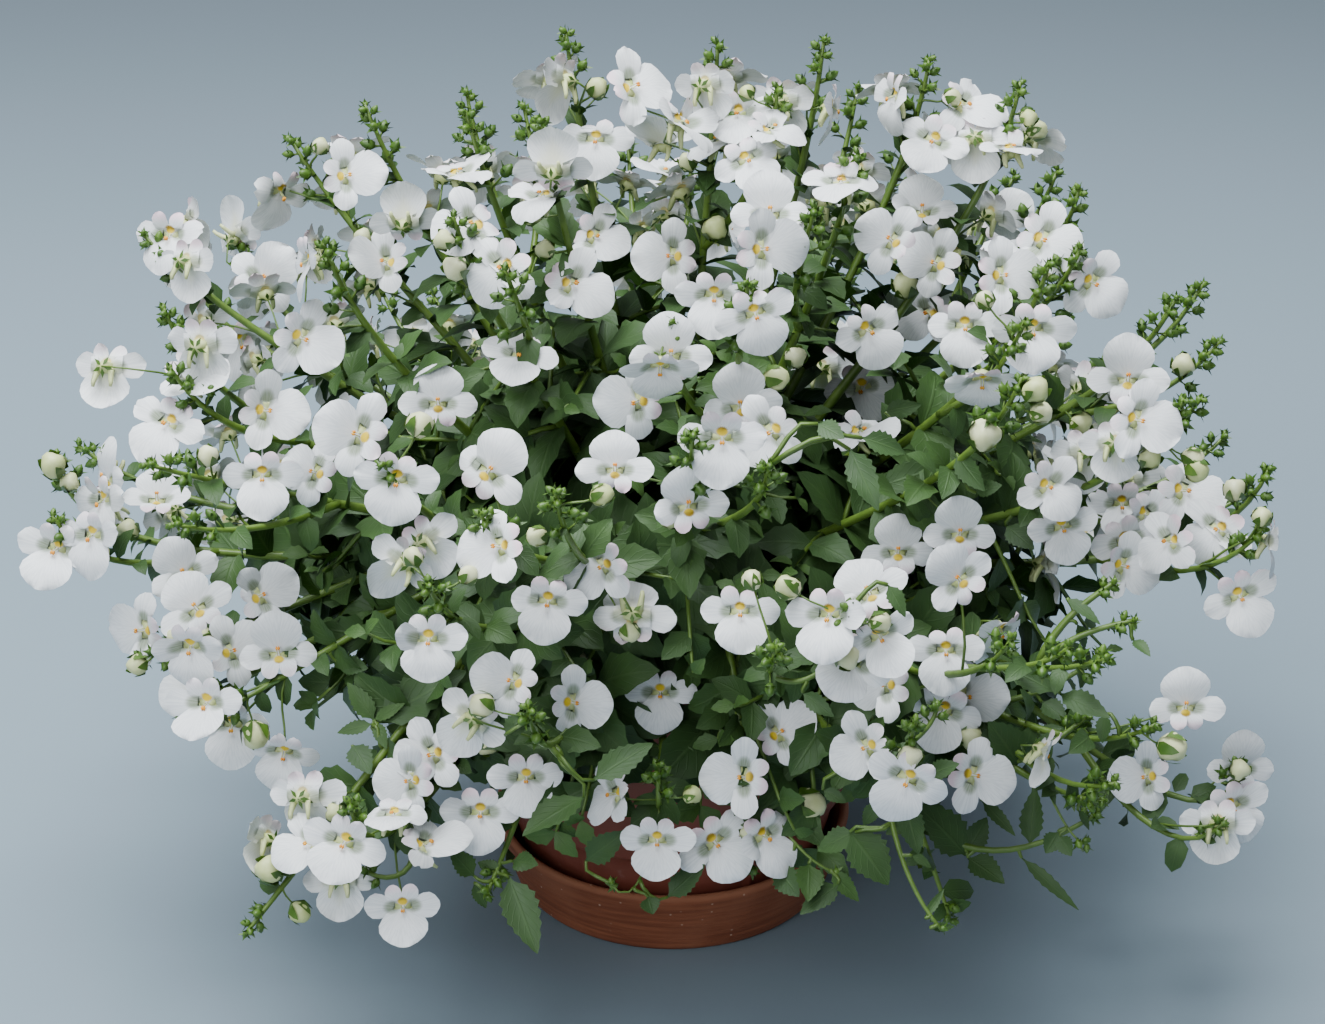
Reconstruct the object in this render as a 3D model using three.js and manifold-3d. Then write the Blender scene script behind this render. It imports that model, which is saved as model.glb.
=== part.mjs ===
// Twinspur in flower, in its pot: a clay saucer, a plastic nursery pot standing in it, the potting soil,
// and shoots that rise from the soil, arch over the pot's edge and end in spikes of flowers and buds.
// Millimetres, +Z up. The origin is the centre of the saucer's underside, which rests on the surface.

import * as THREE from "three";
import { ConvexGeometry } from "three/addons/geometries/ConvexGeometry.js";
import { mergeVertices } from "three/addons/utils/BufferGeometryUtils.js";
import Module from "manifold-3d";

const wasm = await Module();
wasm.setup();

// Space left between pieces that touch in the real plant.
const GAP = 0.3;
// Sides of everything turned on a wheel or moulded round.
const ROUND_SIDES = 32;
// Corners closer together than this are one.
const WELD = 1e-4;
// Faces thinner than this, left where solids are joined, are taken out.
const SLIVER = 0.05;

// Clay saucer.
const SAUCER_FOOT_RADIUS = 47.5;
const SAUCER_RIM_RADIUS = 54.6;
const SAUCER_HEIGHT = 23.4;
const SAUCER_FLOOR = 5.5;
const SAUCER_WALL = 3.2;
const SAUCER_EDGE = 1.2;
const SAUCER_FLARE = 1;

// Plastic pot: a lower wall with upright ribs, a ledge, a wider upper wall and a collar at the rim.
const POT_BOTTOM = SAUCER_FLOOR + GAP;
const POT_HEIGHT = 92;
const POT_TOP = POT_BOTTOM + POT_HEIGHT;
const POT_FOOT_RADIUS = 42;
const POT_HEEL_RADIUS = 45.6;
const POT_HEEL_HEIGHT = 4;
const POT_LEDGE_HEIGHT = 29;
const POT_LEDGE_RADIUS = 51.6;
const POT_LEDGE_STEP = 2.2;
const POT_COLLAR_HEIGHT = 14;
const POT_COLLAR_STEP = 1.6;
const POT_RIM_RADIUS = 64;
const POT_WALL = 1.6;
const POT_EDGE = 1;
const RIB_COUNT = 6;
const RIB_WIDTH = 2.2;
const RIB_RELIEF = 0.2;
const RIB_START = 58;
const DRAIN_COUNT = 4;
const DRAIN_SIDES = 8;
const DRAIN_RADIUS = 5;
const DRAIN_CIRCLE = 30;

// Potting soil, level a little below the rim and rounded off along the pot's wall.
const SOIL_TOP = POT_TOP - 9;
const SOIL_RADIUS = 60;
const SOIL_EDGE = 1;
const SOIL_SLOPE = 3;

// The dome that the spike tips reach, round a heart just above the pot.
const HEART_HEIGHT = 107;
const DOME_WIDE = 183;
const DOME_DEEP = 165;
const DOME_UP = 160;
const DOME_DOWN = 75;

// Shoots: direction of the spike's tip round the pot (0 is +X, 90 is the back) and its climb above the
// heart, how far it reaches towards the dome, how far the spike leans outwards from upright, and the side
// on which a second spike branches off (1 left, -1 right, seen from outside; 0 none).
const SHOOTS = [
  [60, 82, 1.0, 5, 1],
  [120, 70, 1.0, 15, 0],
  [50, 68, 1.0, 8, 0],
  [40, 58, 1.02, 10, 0],
  [30, 52, 1.05, 10, 0],
  [165, 60, 1.0, 20, 0],
  [155, 47, 1.0, 35, 0],
  [195, 71, 1.0, 12, 0],
  [220, 75, 1.0, 10, 0],
  [170, 35, 1.05, 40, 0],
  [210, 53, 1.0, 15, 0],
  [228, 61, 1.0, 20, -1],
  [320, 69, 1.0, 12, 1],
  [357, 51, 1.0, 12, 1],
  [350, 38, 1.0, 20, 0],
  [335, 32, 1.0, 20, -1],
  [348, 18, 1.0, 15, 1],
  [184, 15, 1.02, 5, -1],
  [191, 37, 1.0, 15, -1],
  [208, 26, 1.0, 60, -1],
  [239, 36, 1.0, 30, 0],
  [272, 42, 1.0, 20, -1],
  [268, -3, 0.66, 5, 0],
  [286, 25, 1.0, 20, 1],
  [292, 12, 0.95, 15, 0],
  [301, 19, 1.0, 30, -1],
  [311, 14, 1.0, 50, 0],
  [314, -11, 0.95, 70, 0],
  [320, 2, 0.95, 45, 1],
  [338, -24, 1.06, 5, 1],
  [227, -37, 1.2, 120, 0],
  [234, -12, 0.85, 10, 0],
  [214, -5, 0.87, 100, 1],
  [200, -3, 0.9, 95, 0],
  [247, 26, 1.0, 30, 0],
  [258, 36, 1.0, 25, 1],
  [281, -42, 0.85, 165, 0],
  [307, -50, 1.12, 150, 0],
  [256, 14, 0.9, 20, 0],
  [282, 58, 0.97, 12, 1],
  [335, 50, 0.97, 12, 1],
  [315, 42, 0.97, 20, 0],
  [10, 30, 1.0, 25, 1],
  [20, 5, 1.0, 45, 1],
  [38, 35, 1.0, 25, -1],
  [45, 10, 1.0, 40, 1],
  [65, 42, 1.0, 20, 1],
  [70, 12, 1.0, 40, -1],
  [95, 28, 1.0, 30, 1],
  [88, -12, 1.0, 80, 0],
  [118, 42, 1.0, 22, 1],
  [122, 10, 1.0, 45, 1],
  [145, 25, 1.0, 30, -1],
  [150, -5, 1.0, 70, 0],
  [172, 10, 1.0, 50, 0],
  [35, -18, 1.0, 95, 0],
  [246, -42, 0.95, 120, 0],
];

// Shoot: a three-sided stem along a curve, with leaves in pairs and a spike at the tip.
const STEM_SIDES = 3;
const STEM_FOOT_RADIUS = 1.9;
const STEM_TIP_RADIUS = 1.1;
const STEM_POINT_RADIUS = 0.6;
const STEM_STEPS = 8;
const STEM_RISE = 45;
const LOW_STEM_RISE = 62;
const SPIKE_REACH = 62;
// The upright shoots rise from the middle of the crown, and those below this sine of climb from its edge.
const CROWN_RADIUS = 50;
const CROWN_SINE = -0.5;

// Second spike: where it branches off, how it spreads, and how far its tip stands beside the first one's.
const TWIN_BRANCH = 62;
const TWIN_LEAVE = 12;
const TWIN_SPREAD = 0.5;
const TWIN_ARRIVE = 25;
const TWIN_SIDE = 20;
const TWIN_DROP = 9;
const TWIN_STEPS = 4;

// A shoot that leans this far hangs over the pot's edge and bears no flowers yet.
const BARE_LEAN = 150;

// Spike: a tuft of buds at the tip.
const TUFT_LENGTH = 24;
const TUFT_RADIUS = 3.6;
const TUFT_CUT = 6;

// Flowers: a stalk, and at its end a shallow cup of four corners, broadest at its lower lobe.
const FLOWER_DEPTH = 5;
const FLOWER_LOWER = 11.5;
const FLOWER_UPPER = 7.5;
const FLOWER_SIDE = 10.5;
const FLOWER_BACK = 0.8;
const FLOWER_SIZES = [1, 0.75, 0.5];
const STALK_REACH = 13;
const STALK_RISE = 0.55;
const STALK_SLANT = 0.5;
const STALK_FOOT_RADIUS = 0.8;
const STALK_TIP_RADIUS = 0.65;
const FLOWER_LIFT = 0.1;

// A viewpoint in front of the plant and above it, from which the flowers of its near side are placed: where
// it is, how far it looks down, how many steps its picture has across and down, and how many of them a slope
// of one takes up.
const VIEW_PLACE = new THREE.Vector3(-3, -1042, 690);
const VIEW_DOWN = 28.5;
const VIEW_WIDTH = 1325;
const VIEW_HEIGHT = 1024;
const VIEW_SCALE = 4000;

// Flowers of the near side: place in that picture from its left and top edge, which way the flower faces
// (right and up from straight at the viewpoint), and which way its lower lobe points (0 down, 90 left).
const FLOWERS = [
  [168, 239, -25, 5, 0], [192, 224, 110, 10, -60], [188, 266, 150, 0, 0], [236, 232, 130, 30, 150],
  [264, 277, 5, 10, -135], [305, 265, -75, 0, 0], [306, 340, 10, 0, -60], [108, 372, 165, 0, 0],
  [195, 374, 0, 30, -50], [203, 348, 160, 20, 0], [242, 345, 10, -40, -20], [270, 411, 5, 5, -80],
  [164, 425, -5, 30, 30], [354, 433, 0, 0, 110], [281, 198, 60, -20, 0], [350, 175, 5, 5, -95],
  [404, 218, 170, 30, 180], [460, 172, 0, 60, -20], [382, 262, 0, 25, 80], [499, 269, 0, 20, 45],
  [560, 84, -120, 10, 20], [637, 86, 20, 20, -100], [595, 143, 0, 10, 5], [553, 165, 170, 40, 180],
  [540, 195, -30, 60, 0], [598, 237, 0, 20, -60], [668, 256, 0, 0, 90], [576, 285, 10, 30, -60],
  [470, 225, 20, 30, 60], [708, 88, 150, 20, 0], [737, 115, -10, 30, 0], [783, 105, 160, 10, 0],
  [775, 128, 10, 60, -60], [717, 140, -40, 50, 0], [749, 162, 0, 15, -30], [835, 112, 85, 0, 20],
  [658, 138, -30, 40, 0], [690, 135, 30, 20, 0], [662, 170, -20, 50, 0], [890, 100, -70, 10, 40],
  [968, 106, 30, 30, -60], [931, 143, 0, 15, 30], [975, 145, 175, -10, 0], [767, 249, 0, 0, -90],
  [770, 209, 0, 20, 180], [840, 182, -10, 50, 0], [888, 238, 0, 5, 120], [932, 262, 0, 0, 110],
  [922, 207, 0, 30, 180], [1013, 148, 20, 60, 0], [1002, 217, 0, 0, -125], [1046, 241, -20, 10, -60],
  [1006, 275, 0, 0, -90], [1096, 285, 10, 0, -50], [54, 553, -15, 5, 15], [157, 495, 0, 40, 180],
  [100, 505, -50, 0, 0], [105, 475, -60, 0, 180], [90, 540, -30, 0, 0], [262, 480, 5, -5, 0],
  [311, 471, 0, 0, 110], [194, 605, 0, 10, 145], [183, 570, -10, 0, 150], [264, 594, 5, 0, -120],
  [138, 630, -30, -10, 90], [235, 650, 0, 0, -110], [278, 649, 0, 10, 175], [190, 652, -20, -20, 0],
  [192, 690, 0, 0, 60], [438, 399, 0, 0, 180], [491, 468, 0, 0, -140], [396, 485, 0, -5, 5],
  [519, 357, 0, 35, 10], [615, 465, 0, 5, 180], [633, 402, 5, -15, 90], [671, 351, 0, 0, 180],
  [660, 372, 0, -50, 0], [714, 300, 0, -15, 0], [757, 318, 0, -5, -20], [871, 334, 20, 10, -30],
  [822, 372, 175, 10, 0], [862, 392, -25, 0, -10], [740, 402, 0, 0, 170], [768, 434, 0, 10, 50],
  [722, 443, 0, 0, 0], [864, 431, 10, 55, -40], [965, 330, 0, 5, 0], [925, 315, 0, 30, 60],
  [982, 385, 0, -50, 0], [688, 502, 10, 0, 170], [1033, 334, 0, -15, 0], [1128, 375, 0, 5, 180],
  [1142, 421, 5, 0, -70], [1085, 457, -170, 0, 0], [1115, 448, 170, 0, 0], [1051, 489, 0, 20, -40],
  [1064, 531, 0, 0, -15], [1128, 545, 0, 0, -20], [1188, 492, 10, 20, -60], [1215, 531, 0, 25, 45],
  [1150, 517, 30, 20, -40], [1272, 545, 80, 0, 0], [1165, 543, -30, 30, 60], [1122, 508, 0, 0, 0],
  [283, 757, 0, -35, 10], [305, 800, 160, 10, 0], [342, 847, 0, 10, 20], [429, 756, 0, 15, 60],
  [406, 781, 0, 0, 85], [262, 842, -130, 10, 40], [306, 845, -20, 30, 60], [340, 885, 180, -10, 0],
  [403, 911, 0, 5, -5], [430, 844, 40, 50, -90], [480, 817, 0, 10, 0], [392, 815, -10, 50, 0],
  [470, 722, 180, 0, 40], [205, 708, -20, 0, 0], [232, 730, -10, -10, 0], [494, 547, -15, 15, 75],
  [400, 566, -150, 10, 40], [427, 545, 160, 10, -40], [428, 644, 0, 5, 0], [547, 606, 0, 5, 5],
  [599, 568, 5, 5, 60], [632, 612, 180, -20, 180], [509, 680, -5, 0, 110], [577, 703, 0, 0, -85],
  [660, 697, 0, 5, 0], [740, 616, 0, 10, 0], [898, 548, 0, 0, 178], [867, 589, -10, 20, 150],
  [957, 577, 0, 0, 135], [960, 530, 0, 0, 180], [946, 655, 0, 5, 0], [882, 640, 0, -10, -30],
  [828, 620, -20, 0, 0], [882, 685, 0, 0, 90], [850, 665, 0, 0, 30], [782, 731, 0, 10, -120],
  [863, 749, -5, 10, 60], [942, 715, 0, 0, 20], [969, 697, 10, 0, -90], [1048, 567, 95, 0, 0],
  [1127, 567, 5, 0, -70], [1000, 635, 60, -40, 0], [1242, 600, 0, 5, -25], [1186, 703, 0, 5, 180],
  [1143, 777, -5, 0, 85], [1234, 811, 0, 0, -25], [1240, 765, 20, 0, 180], [1218, 828, 170, 0, 0],
  [1045, 755, 180, 0, -30], [978, 776, 0, 5, -75], [526, 782, 0, 8, 0], [610, 796, -50, 20, 70],
  [657, 845, 0, 5, 0], [739, 777, 0, 0, 90], [718, 846, 0, 5, -40], [768, 840, 30, 10, -30],
  [905, 784, 0, -10, 30],
];
// A flower hangs on the spike that its line of sight passes closest to. Spikes further away, spikes that
// bear flowers already, and places below the spike count as less close, by these shares.
const NEAREST_FIRST = 18;
const NEAREST_STEP = 4;
const NEAREST_LAST = 98;
const NEAREST_END = 4;
const FAR_SHARE = 0.1;
const LOAD_SHARE = 2.5;
const LOW_SHARE = 0.3;
// Two flowers this close together across the line of sight and along it stand apart by one of the shifts.
const CROWDED_ACROSS = 17;
const CROWDED_ALONG = 5;
const SHIFTS = [0, -4, 4, -8, 8, -12, 12, 16];

// Flowers of the far side: how far below the tip each stands, on a first and on a second spike. They stand
// at even turns round the spike, where they are out of sight from the viewpoint: in an oval of the picture
// that the plant fills, or behind a flower of the near side.
const FAR_FIRST = [24, 32, 40, 49, 58];
const FAR_SECOND = [24, 33, 42];
const FAR_BEHIND = 10;
const OVAL_LEFT = 665;
const OVAL_TOP = 520;
const OVAL_WIDE = 470;
const OVAL_HIGH = 370;
const BEHIND_FLOWER = 26;
const FAR_ROOM = 15;

// Leaves.
const LEAF_PAIRS = 2;
const LEAF_FIRST = 76;
const LEAF_STEP = 24;
const LEAF_SHORTEST = 16;
const LEAF_GROWTH = 5;
const LEAF_BROAD = 0.55;
const LEAF_MIDDLE = 0.45;
const LEAF_RISE = 0.5;
const LEAF_DROOP = 0.22;

// Turn from one flower to the next round the stem, in radians.
const GOLDEN_TURN = 2.39996;
// A leaf tries a few places round its stem, this many radians apart.
const LEAF_TRIES = 6;
const LEAF_TURN = 0.9;

const UP = new THREE.Vector3(0, 0, 1);
// A direction that no stem runs along, from which turns round a stem are counted.
const TURN_START = new THREE.Vector3(0.36, 0.93, 0.05);

// Colour and roughness of each material.
const CLAY = { color: 0x9c5a3a, roughness: 0.85 };
const PLASTIC = { color: 0x8f4f40, roughness: 0.45 };
const PEAT = { color: 0x2e211a, roughness: 1 };
const GREEN = { color: 0x5f8a3c, roughness: 0.55 };

// A closed geometry as a solid that can be joined and cut.
function solid(geometry) {
  const bare = geometry.clone();
  bare.deleteAttribute("normal");
  bare.deleteAttribute("uv");
  const merged = mergeVertices(bare, WELD);
  const triVerts = new Uint32Array(merged.index.array);
  const vertProperties = merged.attributes.position.array;
  return new wasm.Manifold(new wasm.Mesh({ numProp: 3, vertProperties, triVerts }));
}

// A solid back as a geometry.
function geometryOf(manifold) {
  const mesh = manifold.getMesh();
  const geometry = new THREE.BufferGeometry();
  geometry.setAttribute("position", new THREE.BufferAttribute(mesh.vertProperties, 3));
  geometry.setIndex(new THREE.BufferAttribute(mesh.triVerts, 1));
  return geometry;
}

// A geometry turned so that its own Y points along a direction, then moved to a place.
function stood(geometry, direction, place) {
  const turn = new THREE.Quaternion().setFromUnitVectors(new THREE.Vector3(0, 1, 0), direction);
  return geometry.applyQuaternion(turn).translate(place.x, place.y, place.z);
}

// A profile of [radius, height] points turned round the Z axis.
function turned(profile) {
  const points = profile.map(([radius, height]) => new THREE.Vector2(radius, height));
  return new THREE.LatheGeometry(points, ROUND_SIDES).rotateX(Math.PI / 2);
}

function saucer() {
  const outerFoot = SAUCER_FOOT_RADIUS + SAUCER_FLARE;
  const innerRim = SAUCER_RIM_RADIUS - SAUCER_WALL;
  const innerFoot = outerFoot - SAUCER_WALL;
  return turned([
    [0, 0],
    [SAUCER_FOOT_RADIUS, 0],
    [outerFoot, SAUCER_EDGE],
    [SAUCER_RIM_RADIUS, SAUCER_HEIGHT - SAUCER_EDGE],
    [SAUCER_RIM_RADIUS - SAUCER_EDGE, SAUCER_HEIGHT],
    [innerRim + SAUCER_EDGE, SAUCER_HEIGHT],
    [innerRim, SAUCER_HEIGHT - SAUCER_EDGE],
    [innerFoot + SAUCER_EDGE, SAUCER_FLOOR + 2 * SAUCER_EDGE],
    [innerFoot - SAUCER_EDGE, SAUCER_FLOOR],
    [0, SAUCER_FLOOR],
  ]);
}

function pot() {
  const ledge = POT_BOTTOM + POT_LEDGE_HEIGHT;
  const collar = POT_TOP - POT_COLLAR_HEIGHT;
  const upperFoot = POT_LEDGE_RADIUS + POT_LEDGE_STEP;
  const upperTop = POT_RIM_RADIUS - POT_COLLAR_STEP - POT_EDGE;
  const floor = POT_BOTTOM + POT_WALL;
  const body = solid(
    turned([
      [0, POT_BOTTOM],
      [POT_FOOT_RADIUS, POT_BOTTOM],
      [POT_HEEL_RADIUS, POT_BOTTOM + POT_HEEL_HEIGHT],
      [POT_LEDGE_RADIUS, ledge],
      [upperFoot, ledge + POT_EDGE],
      [upperTop, collar],
      [POT_RIM_RADIUS - POT_EDGE, collar + POT_EDGE],
      [POT_RIM_RADIUS, POT_TOP - POT_EDGE],
      [POT_RIM_RADIUS - POT_EDGE, POT_TOP],
      [POT_RIM_RADIUS - 2 * POT_WALL, POT_TOP],
      [upperTop - POT_WALL, collar],
      [upperFoot - POT_WALL, ledge + POT_EDGE + POT_WALL],
      [POT_LEDGE_RADIUS - POT_WALL, ledge + POT_WALL],
      [POT_HEEL_RADIUS - POT_WALL, POT_BOTTOM + POT_HEEL_HEIGHT],
      [POT_FOOT_RADIUS - POT_EDGE, floor],
      [0, floor],
    ]),
  );
  const length = POT_LEDGE_HEIGHT - POT_HEEL_HEIGHT;
  const slope = Math.atan2(POT_LEDGE_RADIUS - POT_HEEL_RADIUS, length);
  const middle = (POT_LEDGE_RADIUS + POT_HEEL_RADIUS) / 2;
  let made = body;
  for (let i = 0; i < RIB_COUNT; i++) {
    const turn = THREE.MathUtils.degToRad(RIB_START) + (i * 2 * Math.PI) / RIB_COUNT;
    const rib = new THREE.BoxGeometry(POT_WALL, RIB_WIDTH, length)
      .rotateY(slope)
      .translate(middle + RIB_RELIEF, 0, ledge - length / 2)
      .rotateZ(turn);
    made = made.add(solid(rib));
  }
  for (let i = 0; i < DRAIN_COUNT; i++) {
    const turn = ((i + 0.5) * 2 * Math.PI) / DRAIN_COUNT;
    const drain = new THREE.CylinderGeometry(DRAIN_RADIUS, DRAIN_RADIUS, 4 * POT_WALL, DRAIN_SIDES)
      .rotateX(Math.PI / 2)
      .translate(DRAIN_CIRCLE * Math.cos(turn), DRAIN_CIRCLE * Math.sin(turn), POT_BOTTOM);
    made = made.subtract(solid(drain));
  }
  return geometryOf(made);
}

function soil() {
  const floor = POT_BOTTOM + POT_WALL + GAP;
  const ledge = POT_BOTTOM + POT_LEDGE_HEIGHT;
  const wall = POT_WALL + GAP;
  return turned([
    [0, floor],
    [POT_FOOT_RADIUS - POT_EDGE - GAP, floor],
    [POT_HEEL_RADIUS - wall, POT_BOTTOM + POT_HEEL_HEIGHT + GAP],
    [POT_LEDGE_RADIUS - wall, ledge + wall],
    [POT_LEDGE_RADIUS + POT_LEDGE_STEP - wall - GAP, ledge + POT_EDGE + wall],
    [SOIL_RADIUS - SOIL_EDGE, SOIL_TOP - SOIL_EDGE],
    [SOIL_RADIUS - SOIL_SLOPE, SOIL_TOP],
    [0, SOIL_TOP],
  ]);
}

// Every solid made so far, with its box and the number of the shoot that it belongs to.
const standing = [];

function boxOf(shape) {
  const { min, max } = shape.boundingBox();
  return new THREE.Box3(new THREE.Vector3(...min), new THREE.Vector3(...max));
}

function stand(shape, shoot) {
  standing.push({ shape, shoot, box: boxOf(shape) });
}

// Whether a solid keeps off the surface below and off everything but its own shoot.
function hasRoom(shape, shoot) {
  const box = boxOf(shape).expandByScalar(GAP);
  if (box.min.z < 0) return false;
  return standing.every((other) => {
    if (other.shoot === shoot || !box.intersectsBox(other.box)) return true;
    return shape.minGap(other.shape, 2 * GAP) >= GAP;
  });
}

// A stem as straight stretches of equal length between rings along a curve.
function stemPath(curve, steps) {
  return { curve, steps, length: curve.getLength(), rings: curve.getSpacedPoints(steps) };
}

// Where a stem is at a distance from its tip, and which way it runs there.
function along({ rings, steps, length }, fromTip) {
  const at = Math.max(0, steps * (1 - fromTip / length));
  const stretch = Math.min(Math.floor(at), steps - 1);
  const place = rings[stretch].clone().lerp(rings[stretch + 1], at - stretch);
  const heading = rings[stretch + 1].clone().sub(rings[stretch]).normalize();
  return { place, heading };
}

// The stem of a shoot, from its foot in the soil to the tip of its spike.
function shootPath([azimuth, climb, reach, lean]) {
  const turn = THREE.MathUtils.degToRad(azimuth);
  const rise = THREE.MathUtils.degToRad(climb);
  const tilt = THREE.MathUtils.degToRad(lean);
  const out = new THREE.Vector3(Math.cos(turn), Math.sin(turn), 0);
  const tip = new THREE.Vector3(
    out.x * DOME_WIDE * Math.cos(rise) * reach,
    out.y * DOME_DEEP * Math.cos(rise) * reach,
    HEART_HEIGHT + (climb > 0 ? DOME_UP : DOME_DOWN) * Math.sin(rise) * reach,
  );
  const heading = out.clone().multiplyScalar(Math.sin(tilt)).addScaledVector(UP, Math.cos(tilt));
  const footRadius = CROWN_RADIUS * Math.sqrt((1 - Math.sin(rise)) / (1 - CROWN_SINE));
  const foot = out.clone().multiplyScalar(footRadius).setZ(SOIL_TOP + GAP);
  const rising = foot.clone().addScaledVector(UP, climb > 0 ? STEM_RISE : LOW_STEM_RISE);
  const arriving = tip.clone().addScaledVector(heading, -SPIKE_REACH);
  return stemPath(new THREE.CubicBezierCurve3(foot, rising, arriving, tip), STEM_STEPS);
}

// The stem of a second spike, which branches off a shoot and stands beside its first one.
function twinPath(path, side) {
  const { place, heading } = along(path, TWIN_BRANCH);
  const tip = along(path, 0);
  const across = new THREE.Vector3(-tip.place.y, tip.place.x, 0).setLength(-side * TWIN_SIDE);
  const end = tip.place.clone().add(across).addScaledVector(UP, -TWIN_DROP);
  const rising = place.clone().addScaledVector(heading, TWIN_LEAVE).addScaledVector(across, TWIN_SPREAD);
  const arriving = end.clone().addScaledVector(tip.heading, -TWIN_ARRIVE);
  return stemPath(new THREE.CubicBezierCurve3(place, rising, arriving, end), TWIN_STEPS);
}

// Radius of a shoot at a distance from its tip: a tapering stem that swells to the bud tuft at its end.
function shootRadius(fromTip, length) {
  if (fromTip === 0) return STEM_POINT_RADIUS;
  if (fromTip < TUFT_LENGTH) {
    return TUFT_RADIUS * Math.sin((Math.PI * (fromTip + TUFT_CUT)) / (TUFT_LENGTH + 2 * TUFT_CUT));
  }
  return THREE.MathUtils.lerp(STEM_TIP_RADIUS, STEM_FOOT_RADIUS, fromTip / length);
}

// A three-sided stem, with the bud tuft at its end.
function stem({ curve, steps, length, rings }) {
  const section = new THREE.Shape();
  for (let side = 0; side < STEM_SIDES; side++) {
    const turn = (side * 2 * Math.PI) / STEM_SIDES;
    if (side === 0) section.moveTo(1, 0);
    else section.lineTo(Math.cos(turn), Math.sin(turn));
  }
  const geometry = new THREE.ExtrudeGeometry(section, { steps, extrudePath: curve, bevelEnabled: false });
  const corners = geometry.attributes.position;
  const corner = new THREE.Vector3();
  for (let i = 0; i < corners.count; i++) {
    corner.fromBufferAttribute(corners, i);
    const distances = rings.map((ring) => ring.distanceTo(corner));
    const nearest = distances.indexOf(Math.min(...distances));
    const radius = shootRadius(length * (1 - nearest / steps), length);
    corner.sub(rings[nearest]).multiplyScalar(radius).add(rings[nearest]);
    corners.setXYZ(i, corner.x, corner.y, corner.z);
  }
  return geometry;
}

// Direction away from a stem, at a turn round it.
function sideways(heading, turn) {
  return heading.clone().cross(TURN_START).normalize().applyAxisAngle(heading, turn);
}

// A closed solid round a few corners.
function hull(corners) {
  return solid(new ConvexGeometry(corners));
}

// A straight three-sided stalk.
function stalk(from, to) {
  const way = to.clone().sub(from).normalize();
  const corners = [];
  for (let side = 0; side < STEM_SIDES; side++) {
    const out = sideways(way, (side * 2 * Math.PI) / STEM_SIDES);
    corners.push(from.clone().addScaledVector(out, STALK_FOOT_RADIUS));
    corners.push(to.clone().addScaledVector(out, STALK_TIP_RADIUS));
  }
  return hull(corners);
}

// The cup of one flower: its calyx behind and its four corners in front.
function cup({ calyx, facing, down }, size) {
  const front = calyx.clone().addScaledVector(facing, FLOWER_DEPTH);
  const across = down.clone().cross(facing);
  return hull([
    calyx.clone().addScaledVector(facing, -FLOWER_BACK),
    front.clone().addScaledVector(down, FLOWER_LOWER * size),
    front.clone().addScaledVector(down, -FLOWER_UPPER * size),
    front.clone().addScaledVector(across, FLOWER_SIDE * size),
    front.clone().addScaledVector(across, -FLOWER_SIDE * size),
  ]);
}

// One leaf: a blade bent over at its broadest, that springs from the stem and droops to its tip.
function leaf(from, heading, turn, length) {
  const side = sideways(heading, turn);
  const way = side.clone().addScaledVector(heading, LEAF_RISE).normalize();
  const across = way.clone().cross(heading).normalize();
  const halfBroad = (length * LEAF_BROAD) / 2;
  const middle = from.clone().addScaledVector(way, length * LEAF_MIDDLE);
  const tip = from.clone().addScaledVector(way, length).addScaledVector(UP, -length * LEAF_DROOP);
  const left = middle.clone().addScaledVector(across, halfBroad);
  const right = middle.clone().addScaledVector(across, -halfBroad);
  return hull([from, left, right, tip]);
}

// The leaf pairs of one shoot, below its spike, each pair turned square to the one above. A leaf that finds
// no room round its stem isn't there.
function growLeaves(path, shoot) {
  for (let pair = 0; pair < LEAF_PAIRS; pair++) {
    const { place, heading } = along(path, LEAF_FIRST + pair * LEAF_STEP);
    const size = LEAF_SHORTEST + pair * LEAF_GROWTH;
    for (const half of [0, Math.PI]) {
      for (let attempt = 0; attempt < LEAF_TRIES; attempt++) {
        const turn = shoot + half + (pair * Math.PI) / 2 + attempt * LEAF_TURN;
        const blade = leaf(place, heading, turn, size);
        if (!hasRoom(blade, shoot)) continue;
        stand(blade, shoot);
        break;
      }
    }
  }
}

const viewDown = THREE.MathUtils.degToRad(VIEW_DOWN);
const viewAhead = new THREE.Vector3(0, Math.cos(viewDown), -Math.sin(viewDown));
const viewUp = new THREE.Vector3(0, Math.sin(viewDown), Math.cos(viewDown));
const viewRight = new THREE.Vector3(1, 0, 0);

// The direction in which a place in the picture lies.
function sightLine(fromLeft, fromTop) {
  return viewAhead
    .clone()
    .addScaledVector(viewRight, (fromLeft - VIEW_WIDTH / 2) / VIEW_SCALE)
    .addScaledVector(viewUp, (VIEW_HEIGHT / 2 - fromTop) / VIEW_SCALE)
    .normalize();
}

// The part of a direction that is square to another one.
function squareTo(way, axis) {
  return way.clone().addScaledVector(axis, -way.dot(axis)).normalize();
}

// The place on all the spikes that a line of sight passes closest to.
function nearestOnSpikes(line, spikes) {
  let best = { cost: Infinity };
  for (const spike of spikes) {
    for (let fromTip = NEAREST_FIRST; fromTip <= NEAREST_LAST; fromTip += NEAREST_STEP) {
      if (fromTip > spike.path.length - NEAREST_END) break;
      const offset = along(spike.path, fromTip).place.sub(VIEW_PLACE);
      const far = offset.dot(line);
      const off = offset.addScaledVector(line, -far).length();
      const low = Math.max(0, fromTip - SPIKE_REACH);
      const cost = off + FAR_SHARE * far + LOAD_SHARE * spike.load + LOW_SHARE * low;
      if (cost < best.cost) best = { cost, spike, fromTip, far, off };
    }
  }
  return best;
}

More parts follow.
